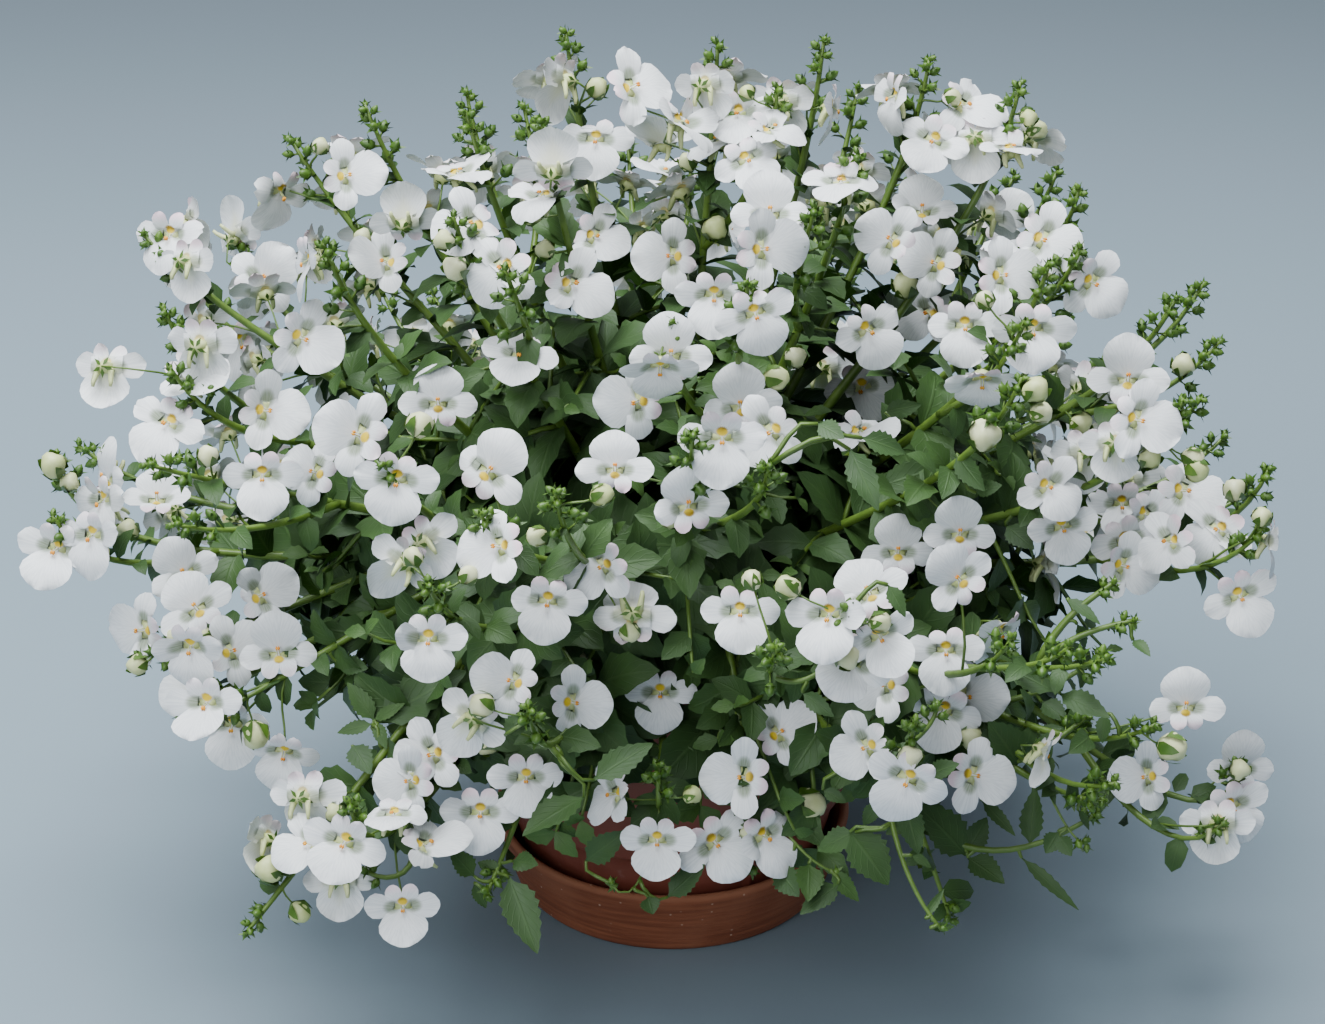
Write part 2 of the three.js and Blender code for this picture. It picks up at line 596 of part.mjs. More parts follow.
// Whether a flower's centre crowds one that is already placed, seen along a line.
function crowds(centre, line, placed) {
  return placed.some((other) => {
    const apart = other.centre.clone().sub(centre);
    const deep = Math.abs(apart.dot(line));
    return deep < CROWDED_ALONG && apart.lengthSq() - deep ** 2 < CROWDED_ACROSS ** 2;
  });
}

// A flower of the near side, from its row.
function nearFlower([fromLeft, fromTop, right, up, lobe], spikes, placed) {
  const line = sightLine(fromLeft, fromTop);
  const { spike, fromTip, far, off } = nearestOnSpikes(line, spikes);
  const stand = far - Math.sqrt(Math.max(0, STALK_REACH ** 2 - off ** 2));
  const centres = SHIFTS.map((shift) => VIEW_PLACE.clone().addScaledVector(line, stand + shift));
  const centre = centres.find((place) => !crowds(place, line, placed)) ?? centres[0];
  const [aside, raised, turned] = [right, up, lobe].map(THREE.MathUtils.degToRad);
  const facing = viewAhead
    .clone()
    .multiplyScalar(-Math.cos(raised) * Math.cos(aside))
    .addScaledVector(viewRight, Math.cos(raised) * Math.sin(aside))
    .addScaledVector(viewUp, Math.sin(raised));
  const lower = viewUp
    .clone()
    .multiplyScalar(-Math.cos(turned))
    .addScaledVector(viewRight, -Math.sin(turned));
  spike.load += 1;
  return { spike, fromTip, centre, facing, down: squareTo(lower, facing) };
}

// Whether a place is out of sight from the viewpoint, behind the plant or behind a flower of the near side.
function outOfSight(place) {
  const seen = place.clone().sub(VIEW_PLACE);
  const deep = seen.dot(viewAhead);
  const left = VIEW_WIDTH / 2 + (VIEW_SCALE * seen.dot(viewRight)) / deep;
  const top = VIEW_HEIGHT / 2 - (VIEW_SCALE * seen.dot(viewUp)) / deep;
  const inOval = Math.hypot((left - OVAL_LEFT) / OVAL_WIDE, (top - OVAL_TOP) / OVAL_HIGH) < 1;
  return inOval || FLOWERS.some((row) => Math.hypot(left - row[0], top - row[1]) < BEHIND_FLOWER);
}

// The flowers of the far side that one spike bears.
function farFlowers(spike, placed) {
  const { path, shoot, second } = spike;
  (second ? FAR_SECOND : FAR_FIRST).forEach((fromTip, step) => {
    const { place, heading } = along(path, fromTip);
    const side = sideways(heading, (step + shoot) * GOLDEN_TURN);
    const outward = new THREE.Vector3(place.x, place.y, place.z - HEART_HEIGHT).normalize();
    const facing = side.clone().addScaledVector(UP, FLOWER_LIFT).add(outward).normalize();
    const way = side.clone().addScaledVector(heading, STALK_RISE).normalize();
    const centre = place.clone().addScaledVector(way, STALK_REACH).addScaledVector(facing, FLOWER_DEPTH);
    if (facing.dot(viewAhead) < 0 || centre.y < FAR_BEHIND || !outOfSight(centre)) return;
    if (placed.some((other) => other.centre.distanceTo(centre) < FAR_ROOM)) return;
    placed.push({ spike, fromTip, centre, facing, down: squareTo(UP.clone().negate(), facing) });
  });
}

// Grows one flower on its spike. Its cup is smaller where there is little room, and where there is none, or
// the stalk has no way, there is no flower.
function growFlower({ spike, fromTip, centre, facing, down }) {
  const calyx = centre.clone().addScaledVector(facing, -FLOWER_DEPTH);
  const reach = along(spike.path, fromTip).place.distanceTo(calyx);
  const lower = Math.min(fromTip + STALK_SLANT * reach, spike.path.length - NEAREST_END / 2);
  const thin = stalk(along(spike.path, lower).place, calyx);
  if (!hasRoom(thin, spike.shoot)) return;
  const cups = FLOWER_SIZES.map((size) => cup({ calyx, facing, down }, size));
  const made = cups.find((shape) => hasRoom(shape, spike.shoot));
  if (!made) return;
  stand(thin, spike.shoot);
  stand(made, spike.shoot);
}

stand(solid(saucer()));
stand(solid(pot()));
stand(solid(soil()));

const spikes = [];
SHOOTS.forEach((row, shoot) => {
  const [, , , lean, side] = row;
  const path = shootPath(row);
  const bare = lean === BARE_LEAN;
  spikes.push({ shoot, path, bare, second: false, load: 0 });
  if (side) spikes.push({ shoot, path: twinPath(path, side), bare, second: true, load: 0 });
});
spikes.forEach(({ shoot, path }) => stand(solid(stem(path)), shoot));

const bearing = spikes.filter(({ bare }) => !bare);
const placed = [];
for (const row of FLOWERS) placed.push(nearFlower(row, bearing, placed));
for (const spike of bearing) farFlowers(spike, placed);
placed.forEach(growFlower);
for (const { shoot, path, second } of spikes) {
  if (!second) growLeaves(path, shoot);
}

const plant = new THREE.Group();

function addPiece(name, geometry, finish) {
  const material = new THREE.MeshStandardMaterial({ ...finish, metalness: 0 });
  const mesh = new THREE.Mesh(geometry, material);
  mesh.name = name;
  plant.add(mesh);
}

addPiece("saucer", saucer(), CLAY);
addPiece("pot", pot(), PLASTIC);
addPiece("soil", soil(), PEAT);
SHOOTS.forEach((row, shoot) => {
  const pieces = standing.filter((other) => other.shoot === shoot).map(({ shape }) => shape);
  const joined = pieces.reduce((whole, piece) => whole.add(piece)).simplify(SLIVER);
  addPiece(`shoot_${String(shoot + 1).padStart(2, "0")}`, geometryOf(joined), GREEN);
});

export default plant;
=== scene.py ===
import math
import random

import bpy
import numpy as np
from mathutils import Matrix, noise


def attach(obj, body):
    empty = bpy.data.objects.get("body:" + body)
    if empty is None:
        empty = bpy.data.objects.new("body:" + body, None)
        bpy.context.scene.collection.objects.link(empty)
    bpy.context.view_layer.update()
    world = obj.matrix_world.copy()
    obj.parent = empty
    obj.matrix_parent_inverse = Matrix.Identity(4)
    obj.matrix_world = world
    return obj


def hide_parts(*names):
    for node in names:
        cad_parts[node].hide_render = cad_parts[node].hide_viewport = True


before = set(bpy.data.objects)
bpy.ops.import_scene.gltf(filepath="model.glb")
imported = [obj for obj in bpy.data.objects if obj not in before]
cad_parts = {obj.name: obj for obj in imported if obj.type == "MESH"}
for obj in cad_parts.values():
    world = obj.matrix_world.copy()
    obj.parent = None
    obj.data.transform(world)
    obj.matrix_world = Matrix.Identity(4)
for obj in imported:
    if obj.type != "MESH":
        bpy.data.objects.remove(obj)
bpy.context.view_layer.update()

bpy.ops.object.select_all(action="DESELECT")

# The table and the light. A plain pale sheet runs out behind the pot, with painted shade that darkens it
# towards the back, and a large soft lamp hangs over it, with a weaker one beside the camera. The camera looks
# a little down at the plant, as in the photo.
MM = 0.001
CAMERA_PLACE = (-3, -1042, 690)
CAMERA_DOWN = 28.5
PHOTO_WIDTH, PHOTO_HEIGHT = 1325, 1024
PIXELS_PER_SLOPE = 4000
FLOOR_SIZE = 12
# The far tone is painted shade: the sheet darkens towards the back as if less light reached it there.
NEAR_DARK, NEAR_LIGHT, FAR_SHADE_TONE = (0.185, 0.24, 0.285), (0.20, 0.258, 0.305), (0.095, 0.121, 0.145)
FAR_SHADE_START, FAR_SHADE_FULL = 0.3, 0.85
LAMP_TINT, ROOM_TINT, ROOM_STRENGTH = (0.92, 0.975, 1), (0.72, 0.8, 0.88), 0.37
# The sockets of the node that mixes colours: the share, the two colours, and the colour that comes out.
MIX_SHARE, MIX_FIRST, MIX_SECOND, MIX_RESULT = 0, 6, 7, 2

camera_lens = bpy.data.cameras.new("camera")
camera_lens.sensor_width = 36
camera_lens.lens = camera_lens.sensor_width * PIXELS_PER_SLOPE / PHOTO_WIDTH
camera = bpy.data.objects.new("camera", camera_lens)
camera.location = [MM * along for along in CAMERA_PLACE]
camera.rotation_euler = (math.radians(90 - CAMERA_DOWN), 0, 0)
bpy.context.scene.collection.objects.link(camera)
bpy.context.scene.camera = camera


def new_material(name):
    """A material with its shader, and two short ways to add nodes and wires to it."""
    material = bpy.data.materials.new(name)
    material.use_nodes = True
    nodes, links = material.node_tree.nodes, material.node_tree.links

    def node(kind, **settings):
        made = nodes.new(kind)
        for key, value in settings.items():
            if key in made.inputs:
                made.inputs[key].default_value = value
            else:
                setattr(made, key, value)
        return made

    return material, nodes["Principled BSDF"], node, links.new


def stretch(node, join, value, low, high, to_low=0.0, to_high=1.0):
    """A value between low and high, spread out between two others."""
    spread = node("ShaderNodeMapRange", clamp=True, interpolation_type="SMOOTHSTEP")
    spread.inputs["From Min"].default_value = low
    spread.inputs["From Max"].default_value = high
    spread.inputs["To Min"].default_value = to_low
    spread.inputs["To Max"].default_value = to_high
    join(value, spread.inputs["Value"])
    return spread.outputs["Result"]


def blend(node, join, share, first, second):
    """Two colours, each a wire or a fixed one, mixed by a share."""
    mixed = node("ShaderNodeMix", data_type="RGBA")
    for socket, colour in ((mixed.inputs[MIX_FIRST], first), (mixed.inputs[MIX_SECOND], second)):
        if isinstance(colour, tuple):
            socket.default_value = (*colour, 1)
        else:
            join(colour, socket)
    join(share, mixed.inputs[MIX_SHARE])
    return mixed.outputs[MIX_RESULT]


def new_group(name, inputs, outputs):
    """An effect that several materials share, with its named inputs and outputs."""
    tree = bpy.data.node_groups.new(name, "ShaderNodeTree")
    for side, sockets in (("INPUT", inputs), ("OUTPUT", outputs)):
        for socket, kind in sockets:
            tree.interface.new_socket(name=socket, in_out=side, socket_type="NodeSocket" + kind)
    return tree, tree.nodes.new("NodeGroupInput").outputs, tree.nodes.new("NodeGroupOutput").inputs


def wire(tree, kind, *feeds, **settings):
    """One node of a group, with what feeds its inputs by number or name."""
    made = tree.nodes.new(kind)
    for key, value in settings.items():
        setattr(made, key, value)
    for socket, feed in feeds:
        tree.links.new(feed, made.inputs[socket])
    return made


def blend_in_group(tree, share, first, second):
    """Two colours of a group, mixed by a share."""
    feeds = ((MIX_SHARE, share), (MIX_FIRST, first), (MIX_SECOND, second))
    return wire(tree, "ShaderNodeMix", *feeds, data_type="RGBA").outputs[MIX_RESULT]


# Clouds of one tone in another, which the floor, the clay, the plastic, the soil and the anthers all have.
clouded, given, result = new_group(
    "clouded",
    (
        ("Vector", "Vector"), ("Scale", "Float"), ("Detail", "Float"), ("Low", "Float"), ("High", "Float"),
        ("Dark", "Color"), ("Light", "Color"),
    ),
    (("Color", "Color"), ("Cloud", "Float")),
)
puffs = wire(clouded, "ShaderNodeTexNoise", *((name, given[name]) for name in ("Vector", "Scale", "Detail")))
spread = wire(
    clouded, "ShaderNodeMapRange",
    ("Value", puffs.outputs["Fac"]), ("From Min", given["Low"]), ("From Max", given["High"]),
    interpolation_type="SMOOTHSTEP",
)
clouded_tone = blend_in_group(clouded, spread.outputs["Result"], given["Dark"], given["Light"])
clouded.links.new(clouded_tone, result["Color"])
clouded.links.new(puffs.outputs["Fac"], result["Cloud"])


def cloud_of(node, join, place, scale, detail, low, high, dark, light):
    """Two tones clouded into each other, as a colour, and the cloud itself as a height."""
    made = node("ShaderNodeGroup", node_tree=clouded, Scale=scale, Detail=detail, Low=low, High=high)
    made.inputs["Dark"].default_value = (*dark, 1)
    made.inputs["Light"].default_value = (*light, 1)
    join(place, made.inputs["Vector"])
    return made.outputs["Color"], made.outputs["Cloud"]


sheet, sheet_shader, node, join = new_material("pale_sheet")
sheet_shader.inputs["Roughness"].default_value = 0.8
place = node("ShaderNodeTexCoord").outputs["Object"]
away = node("ShaderNodeSeparateXYZ")
join(place, away.inputs["Vector"])
# Painted shade: the sheet turns to the far tone towards the back.
far_shade = stretch(node, join, away.outputs["Y"], FAR_SHADE_START, FAR_SHADE_FULL)
near_tone = cloud_of(node, join, place, 1.5, 2.0, 0.3, 0.7, NEAR_DARK, NEAR_LIGHT)[0]
join(blend(node, join, far_shade, near_tone, FAR_SHADE_TONE), sheet_shader.inputs["Base Color"])

bpy.ops.mesh.primitive_plane_add(size=FLOOR_SIZE)
floor = bpy.context.object
floor.name = "floor"
floor.data.materials.append(sheet)

for name, place, size, power, turn in (
    ("lamp_over", (-0.24, 0.12, 1.5), 1.2, 61, (-5, -9, 0)),
    ("lamp_front", (-0.9, -1.7, 1.35), 1.4, 30, (52, 0, -28)),
):
    lamp_light = bpy.data.lights.new(name, "AREA")
    lamp_light.energy = power
    lamp_light.size = size
    lamp_light.color = LAMP_TINT
    lamp = bpy.data.objects.new(name, lamp_light)
    lamp.location = place
    lamp.rotation_euler = [math.radians(angle) for angle in turn]
    bpy.context.scene.collection.objects.link(lamp)
room = bpy.data.worlds.new("room")
room.use_nodes = True
room.node_tree.nodes["Background"].inputs["Color"].default_value = (*ROOM_TINT, 1)
room.node_tree.nodes["Background"].inputs["Strength"].default_value = ROOM_STRENGTH
bpy.context.scene.world = room

# The saucer is red clay, turned on a wheel and fired without a glaze. The turning left fine rings round
# its wall, and the clay holds pale flecks and a few dark grains. Its rim is worn paler.
CLAY_SIDES = 160
TURNING_MARK = 0.1
WALL_STEPS, WALL_STEP = 34, 0.56
WALL_FOOT, WALL_RISE = 2, 19
WALL_FOOT_RADIUS, WALL_TOP_RADIUS = 48.7, 54.3
RING_SQUEEZE = 14
FLECK_RARITY = 0.80
SMOOTH_BELOW = 40


def turned(name, profile, sides):
    """A ring of [radius, height] pulled up step by step, closed at both ends."""
    bpy.ops.mesh.primitive_circle_add(vertices=sides, radius=profile[0][0] * MM, fill_type="NOTHING")
    piece = bpy.context.object
    piece.name = name
    bpy.ops.object.mode_set(mode="EDIT")
    bpy.ops.mesh.select_all(action="SELECT")
    bpy.ops.transform.translate(value=(0, 0, profile[0][1] * MM))
    for (radius, height), (next_radius, next_height) in zip(profile, profile[1:]):
        step = (0, 0, (next_height - height) * MM)
        bpy.ops.mesh.extrude_region_move(TRANSFORM_OT_translate={"value": step})
        share = next_radius / radius
        bpy.ops.transform.resize(value=(share, share, 1), center_override=(0, 0, 0))
    bpy.ops.mesh.select_all(action="SELECT")
    bpy.ops.mesh.fill_holes(sides=0)
    bpy.ops.mesh.normals_make_consistent(inside=False)
    bpy.ops.object.mode_set(mode="OBJECT")
    bpy.ops.object.shade_smooth_by_angle(angle=math.radians(SMOOTH_BELOW))
    return piece


def noise_of(node, join, place, **settings):
    """A soft noise laid out by a place, as a value."""
    soft = node("ShaderNodeTexNoise", **settings)
    join(place, soft.inputs["Vector"])
    return soft.outputs["Fac"]


def sum_up(node, join, operation, first, second=None):
    """One step of arithmetic between wires or fixed values."""
    step = node("ShaderNodeMath", operation=operation)
    for socket, value in zip(step.inputs, (first, second)):
        if value is None:
            continue
        if isinstance(value, (int, float)):
            socket.default_value = value
        else:
            join(value, socket)
    return step.outputs["Value"]


def give_relief(node, join, shader, height, strength, depth):
    """A skin that is raised a little where a value is high."""
    relief = node("ShaderNodeBump", Strength=strength, Distance=depth)
    join(height, relief.inputs["Height"])
    join(relief.outputs["Normal"], shader.inputs["Normal"])


wheel = random.Random(3)
saucer_profile = [(0.5, 0.9), (42, 0.9), (43.5, 0.1), (46.6, 0.0), (47.6, 0.5), (48.4, 1.4)]
for step in range(WALL_STEPS):
    height = WALL_FOOT + step * WALL_STEP
    flare = (WALL_TOP_RADIUS - WALL_FOOT_RADIUS) * (height - WALL_FOOT) / WALL_RISE
    saucer_profile.append((WALL_FOOT_RADIUS + flare + wheel.uniform(-1, 1) * TURNING_MARK, height))
saucer_profile += [
    (54.45, 21.4), (54.3, 22.4), (53.8, 23.1), (53.1, 23.4), (52.4, 23.2), (51.9, 22.6), (51.5, 21.4),
    (49.4, 15), (47.3, 8.6), (46.4, 6.9), (44.9, 5.9), (43, 5.5), (0.5, 5.5),
]
saucer = turned("saucer_turned", saucer_profile, CLAY_SIDES)

clay, clay_shader, node, join = new_material("red_clay")
clay_shader.inputs["Roughness"].default_value = 0.82
place = node("ShaderNodeTexCoord").outputs["Object"]
flat = node("ShaderNodeMapping", vector_type="POINT")
flat.inputs["Scale"].default_value = (1, 1, RING_SQUEEZE)
join(place, flat.inputs["Vector"])
rings = flat.outputs["Vector"]
clay_tones = (0.20, 0.052, 0.020), (0.30, 0.088, 0.036)
clay_colour = cloud_of(node, join, rings, 42.0, 5.0, 0.32, 0.7, *clay_tones)[0]
patches = stretch(node, join, noise_of(node, join, place, Scale=38.0, Detail=4.0), 0.45, 0.75, 0, 0.5)
clay_colour = blend(node, join, patches, clay_colour, (0.36, 0.125, 0.06))
height = node("ShaderNodeSeparateXYZ")
join(place, height.inputs["Vector"])
rim_wear = stretch(node, join, height.outputs["Z"], 0.0212, 0.0232, 0, 0.55)
clay_colour = blend(node, join, rim_wear, clay_colour, (0.44, 0.175, 0.09))
for fineness, reach, colour in ((330.0, 0.17, (0.74, 0.52, 0.38)), (250.0, 0.13, (0.09, 0.035, 0.02))):
    grains = node("ShaderNodeTexVoronoi", Scale=fineness, feature="F1")
    join(place, grains.inputs["Vector"])
    pick = node("ShaderNodeSeparateColor")
    join(grains.outputs["Color"], pick.inputs["Color"])
    rare = sum_up(node, join, "GREATER_THAN", pick.outputs["Red"], FLECK_RARITY)
    near = stretch(node, join, grains.outputs["Distance"], 0.0, reach, 0.85, 0)
    clay_colour = blend(node, join, sum_up(node, join, "MULTIPLY", near, rare), clay_colour, colour)
join(clay_colour, clay_shader.inputs["Base Color"])
give_relief(node, join, clay_shader, noise_of(node, join, rings, Scale=900.0, Detail=3.0), 0.35, 0.0004)
saucer.data.materials.append(clay)
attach(saucer, "root")
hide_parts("saucer")

# The pot is a thin shell of terracotta-coloured plastic, moulded in one shot: a lower wall with upright
# ribs that steers it into other pots, a ledge, a wider upper wall, and a collar that stiffens the rim.
POT_SIDES = 288
RIB_TURNS = 6
RIB_FIRST = 58
RIB_HALF_WIDTH = 1.3
RIB_HEIGHT = 0.7
RIB_FOOT, RIB_TOP = 10.5, 34.0
LOWER_WALL, LOWER_WALL_START, LOWER_WALL_FLARE = 45.6, 9.8, 0.24
DRAINS, DRAIN_OUT, DRAIN_RADIUS = 4, 30, 5

pot_profile = [
    (0.5, 5.85), (30, 5.85), (40.6, 5.85), (41.8, 6.1), (42.6, 6.8), (45.4, 9.8), (46.6, 14.8),
    (47.8, 19.8), (49.0, 24.8), (50.2, 29.8), (51.4, 34.4), (51.9, 34.8), (53.2, 35.1), (53.8, 35.7),
    (54.0, 36.4), (56.6, 53), (59.0, 68), (61.1, 83.1), (61.6, 83.7), (62.7, 84.2), (63.1, 85),
    (63.8, 96.5), (63.6, 97.3), (62.9, 97.7), (61.6, 97.7), (61.0, 97.3), (60.7, 96.3), (59.6, 84),
    (52.4, 37.6), (51.6, 36.8), (50.2, 36.4), (49.8, 35.4), (44.0, 10.2), (41.6, 7.6), (30, 7.5), (0.5, 7.5),
]
pot = turned("pot_moulded", pot_profile, POT_SIDES)
for vertex in pot.data.vertices:
    x, y, z = (along / MM for along in vertex.co)
    radius = math.hypot(x, y)
    inner_skin = LOWER_WALL + (z - LOWER_WALL_START) * LOWER_WALL_FLARE - 1
    outside = RIB_FOOT < z < RIB_TOP and radius > inner_skin
    turn = math.degrees(math.atan2(y, x)) - RIB_FIRST
    from_rib = abs((turn + 180 / RIB_TURNS) % (360 / RIB_TURNS) - 180 / RIB_TURNS)
    if outside and math.radians(from_rib) * radius < RIB_HALF_WIDTH:
        vertex.co.x *= (radius + RIB_HEIGHT) / radius
        vertex.co.y *= (radius + RIB_HEIGHT) / radius
for turn in range(DRAINS):
    angle = math.radians(45 + 90 * turn)
    middle = (DRAIN_OUT * MM * math.cos(angle), DRAIN_OUT * MM * math.sin(angle), 6 * MM)
    bpy.ops.mesh.primitive_cylinder_add(vertices=24, radius=DRAIN_RADIUS * MM, depth=8 * MM, location=middle)
    drain = bpy.context.object
    hole = pot.modifiers.new("drain", "BOOLEAN")
    hole.operation = "DIFFERENCE"
    hole.solver = "EXACT"
    hole.object = drain
    bpy.context.view_layer.objects.active = pot
    bpy.ops.object.modifier_apply(modifier=hole.name)
    bpy.data.objects.remove(drain)
bpy.ops.object.select_all(action="DESELECT")

plastic, plastic_shader, node, join = new_material("terracotta_plastic")
plastic_shader.inputs["IOR"].default_value = 1.46
place = node("ShaderNodeTexCoord").outputs["Object"]
plastic_tones = (0.20, 0.050, 0.030), (0.25, 0.066, 0.042)
pot_colour = cloud_of(node, join, place, 26.0, 4.0, 0.35, 0.65, *plastic_tones)[0]
drops = noise_of(node, join, place, Scale=120.0, Detail=6.0, Roughness=0.7)
lime = stretch(node, join, drops, 0.60, 0.78, 0, 0.45)
join(blend(node, join, lime, pot_colour, (0.34, 0.20, 0.16)), plastic_shader.inputs["Base Color"])
join(stretch(node, join, drops, 0.4, 0.7, 0.38, 0.62), plastic_shader.inputs["Roughness"])
give_relief(node, join, plastic_shader, noise_of(node, join, place, Scale=1400.0, Detail=2.0), 0.12, 0.0002)
pot.data.materials.append(plastic)
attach(pot, "root")
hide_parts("pot")

# The potting soil is a peat mix, pressed in by hand and watered until it settled: one dark mass that
# fills the pot, with a rough top and loose crumbs of its own lying on it.
SOIL_SIDES, SOIL_RINGS = 96, 26
SOIL_EDGE, SOIL_CENTRE, SOIL_LEVEL = 57.2, 0.5, 88.4
LUMPS = ((1, 90), (0.6, 260), (0.4, 600))
LUMP_HEIGHT, LUMP_SINK = 1.1, 0.5
CRUMBS = 150
CRUMB_SPREAD = 55.5

soil_profile = [(0.5, 8.1), (40, 8.1), (43, 12), (49, 35), (51, 38.4), (56.5, 78), (57.6, 87.2)]
for step in range(SOIL_RINGS):
    soil_profile.append((SOIL_EDGE - step * (SOIL_EDGE - SOIL_CENTRE) / (SOIL_RINGS - 1), SOIL_LEVEL))
soil = turned("soil_filled", soil_profile, SOIL_SIDES)
for vertex in soil.data.vertices:
    if vertex.co.z > 87 * MM:
        lump = sum(share * noise.noise(vertex.co * fineness) for share, fineness in LUMPS)
        vertex.co.z += (lump * LUMP_HEIGHT - LUMP_SINK) * MM
sieve = random.Random(8)
crumbs = []
for crumb in range(CRUMBS):
    turn = sieve.uniform(0, 2 * math.pi)
    out = CRUMB_SPREAD * math.sqrt(sieve.random())
    size = sieve.uniform(0.6, 1.7)
    bpy.ops.mesh.primitive_ico_sphere_add(
        subdivisions=1,
        radius=size * MM,
        location=(out * math.cos(turn) * MM, out * math.sin(turn) * MM, (88.1 + 0.25 * size) * MM),
        rotation=[sieve.uniform(0, 3) for axis in range(3)],
        scale=[sieve.uniform(0.6, 1.1) for axis in range(3)],
    )
    crumbs.append(bpy.context.object)
for crumb in crumbs:
    crumb.select_set(True)
soil.select_set(True)
bpy.context.view_layer.objects.active = soil
bpy.ops.object.join()
bpy.ops.object.select_all(action="DESELECT")

peat, peat_shader, node, join = new_material("damp_peat")
peat_shader.inputs["Roughness"].default_value = 0.92
place = node("ShaderNodeTexCoord").outputs["Object"]
peat_tones = (0.012, 0.008, 0.005), (0.075, 0.045, 0.026)
peat_colour, fibres = cloud_of(node, join, place, 210.0, 8.0, 0.35, 0.68, *peat_tones)
join(peat_colour, peat_shader.inputs["Base Color"])
give_relief(node, join, peat_shader, fibres, 0.9, 0.0012)
soil.data.materials.append(peat)
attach(soil, "root")
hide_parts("soil")

# The plan of the plant. Every shoot rises from the crown in the soil, arches out to its own place on the
# dome, and ends in a spike; many bear a second spike beside it. Lengths here are millimetres.
HEART_HEIGHT = 107
DOME_WIDE, DOME_DEEP, DOME_UP, DOME_DOWN = 183, 165, 160, 75
SOIL_TOP, POT_TOP = 89.1, 98
OVER_POT, BESIDE_POT, OVER_TABLE, POT_INSIDE, OVER_SOIL = 98.5, 64.6, 1, 60, 89.5
FOOT_SPREAD = 50
FOOT_RISE, LOW_FOOT_RISE = 45, 62
TIP_STRAIGHT = 62
BARE_LEAN = 150
TWIN_BRANCH, TWIN_APART, TWIN_LOWER = 62, 20, 9
MAIN_STEPS, TWIN_STEPS = 8, 4
ARC_DOTS = 201
GOLDEN_TURN = 2.39996
UP = np.array([0, 0, 1.0])
TURN_START = np.array([0.36, 0.93, 0.05])

# Direction of the tip round the pot, its climb above the heart, its reach, the lean of the spike, and the
# side of a second spike.
SHOOTS = [
    (60, 82, 1.0, 5, 1), (120, 70, 1.0, 15, 0), (50, 68, 1.0, 8, 0), (40, 58, 1.02, 10, 0),
    (30, 52, 1.05, 10, 0), (165, 60, 1.0, 20, 0), (155, 47, 1.0, 35, 0), (195, 71, 1.0, 12, 0),
    (220, 75, 1.0, 10, 0), (170, 35, 1.05, 40, 0), (210, 53, 1.0, 15, 0), (228, 61, 1.0, 20, -1),
    (320, 69, 1.0, 12, 1), (357, 51, 1.0, 12, 1), (350, 38, 1.0, 20, 0), (335, 32, 1.0, 20, -1),
    (348, 18, 1.0, 15, 1), (184, 15, 1.02, 5, -1), (191, 37, 1.0, 15, -1), (208, 26, 1.0, 60, -1),
    (239, 36, 1.0, 30, 0), (272, 42, 1.0, 20, -1), (268, -3, 0.66, 5, 0), (286, 25, 1.0, 20, 1),
    (292, 12, 0.95, 15, 0), (301, 19, 1.0, 30, -1), (311, 14, 1.0, 50, 0), (314, -11, 0.95, 70, 0),
    (320, 2, 0.95, 45, 1), (338, -24, 1.06, 5, 1), (227, -37, 1.2, 120, 0), (234, -12, 0.85, 10, 0),
    (214, -5, 0.87, 100, 1), (200, -3, 0.9, 95, 0), (247, 26, 1.0, 30, 0), (258, 36, 1.0, 25, 1),
    (281, -42, 0.85, 165, 0), (307, -50, 1.12, 150, 0), (256, 14, 0.9, 20, 0), (282, 58, 0.97, 12, 1),
    (335, 50, 0.97, 12, 1), (315, 42, 0.97, 20, 0), (10, 30, 1.0, 25, 1), (20, 5, 1.0, 45, 1),
    (38, 35, 1.0, 25, -1), (45, 10, 1.0, 40, 1), (65, 42, 1.0, 20, 1), (70, 12, 1.0, 40, -1),
    (95, 28, 1.0, 30, 1), (88, -12, 1.0, 80, 0), (118, 42, 1.0, 22, 1), (122, 10, 1.0, 45, 1),
    (145, 25, 1.0, 30, -1), (150, -5, 1.0, 70, 0), (172, 10, 1.0, 50, 0), (35, -18, 1.0, 95, 0),
    (246, -42, 0.95, 120, 0),
]


def unit(way):
    return way / np.linalg.norm(way)


def square_to(way, axis):
    """The part of a direction that is square to an axis."""
    return unit(way - axis * (way @ axis))


def sideways(heading, turn):
    """The direction away from a stem, at a turn round it."""
    side = unit(np.cross(heading, TURN_START))
    return side * math.cos(turn) + np.cross(heading, side) * math.sin(turn)


class Arc:
    """A curve through space from one place to another, with the two that it leaves and arrives by."""

    def __init__(self, *places):
        self.places = [np.array(place, float) for place in places]
        dots = self.at(np.linspace(0, 1, ARC_DOTS))
        self.run = np.concatenate([[0], np.cumsum(np.linalg.norm(np.diff(dots, axis=0), axis=1))])
        self.length = self.run[-1]

    def at(self, share):
        share = np.asarray(share, float)[..., None]
        start, leave, arrive, end = self.places
        rest = 1 - share
        return start * rest**3 + 3 * leave * share * rest**2 + 3 * arrive * share**2 * rest + end * share**3

    def rings(self, steps):
        """Places at equal distances along the curve."""
        runs = np.linspace(0, self.length, steps + 1)
        return self.at(np.interp(runs, self.run, np.linspace(0, 1, ARC_DOTS)))


class Spike(Arc):
    """A stem that ends in a spike. Places on it are told by their distance from the tip."""

    def __init__(self, shoot, steps, *places):
        super().__init__(*places)
        self.shoot, self.steps = shoot, steps
        self.joints = self.rings(steps)
        self.flowers = 0

    def along(self, from_tip):
        at = max(0, self.steps * (1 - from_tip / self.length))
        below = min(int(at), self.steps - 1)
        step = self.joints[below + 1] - self.joints[below]
        return self.joints[below] + step * (at - below), unit(step)


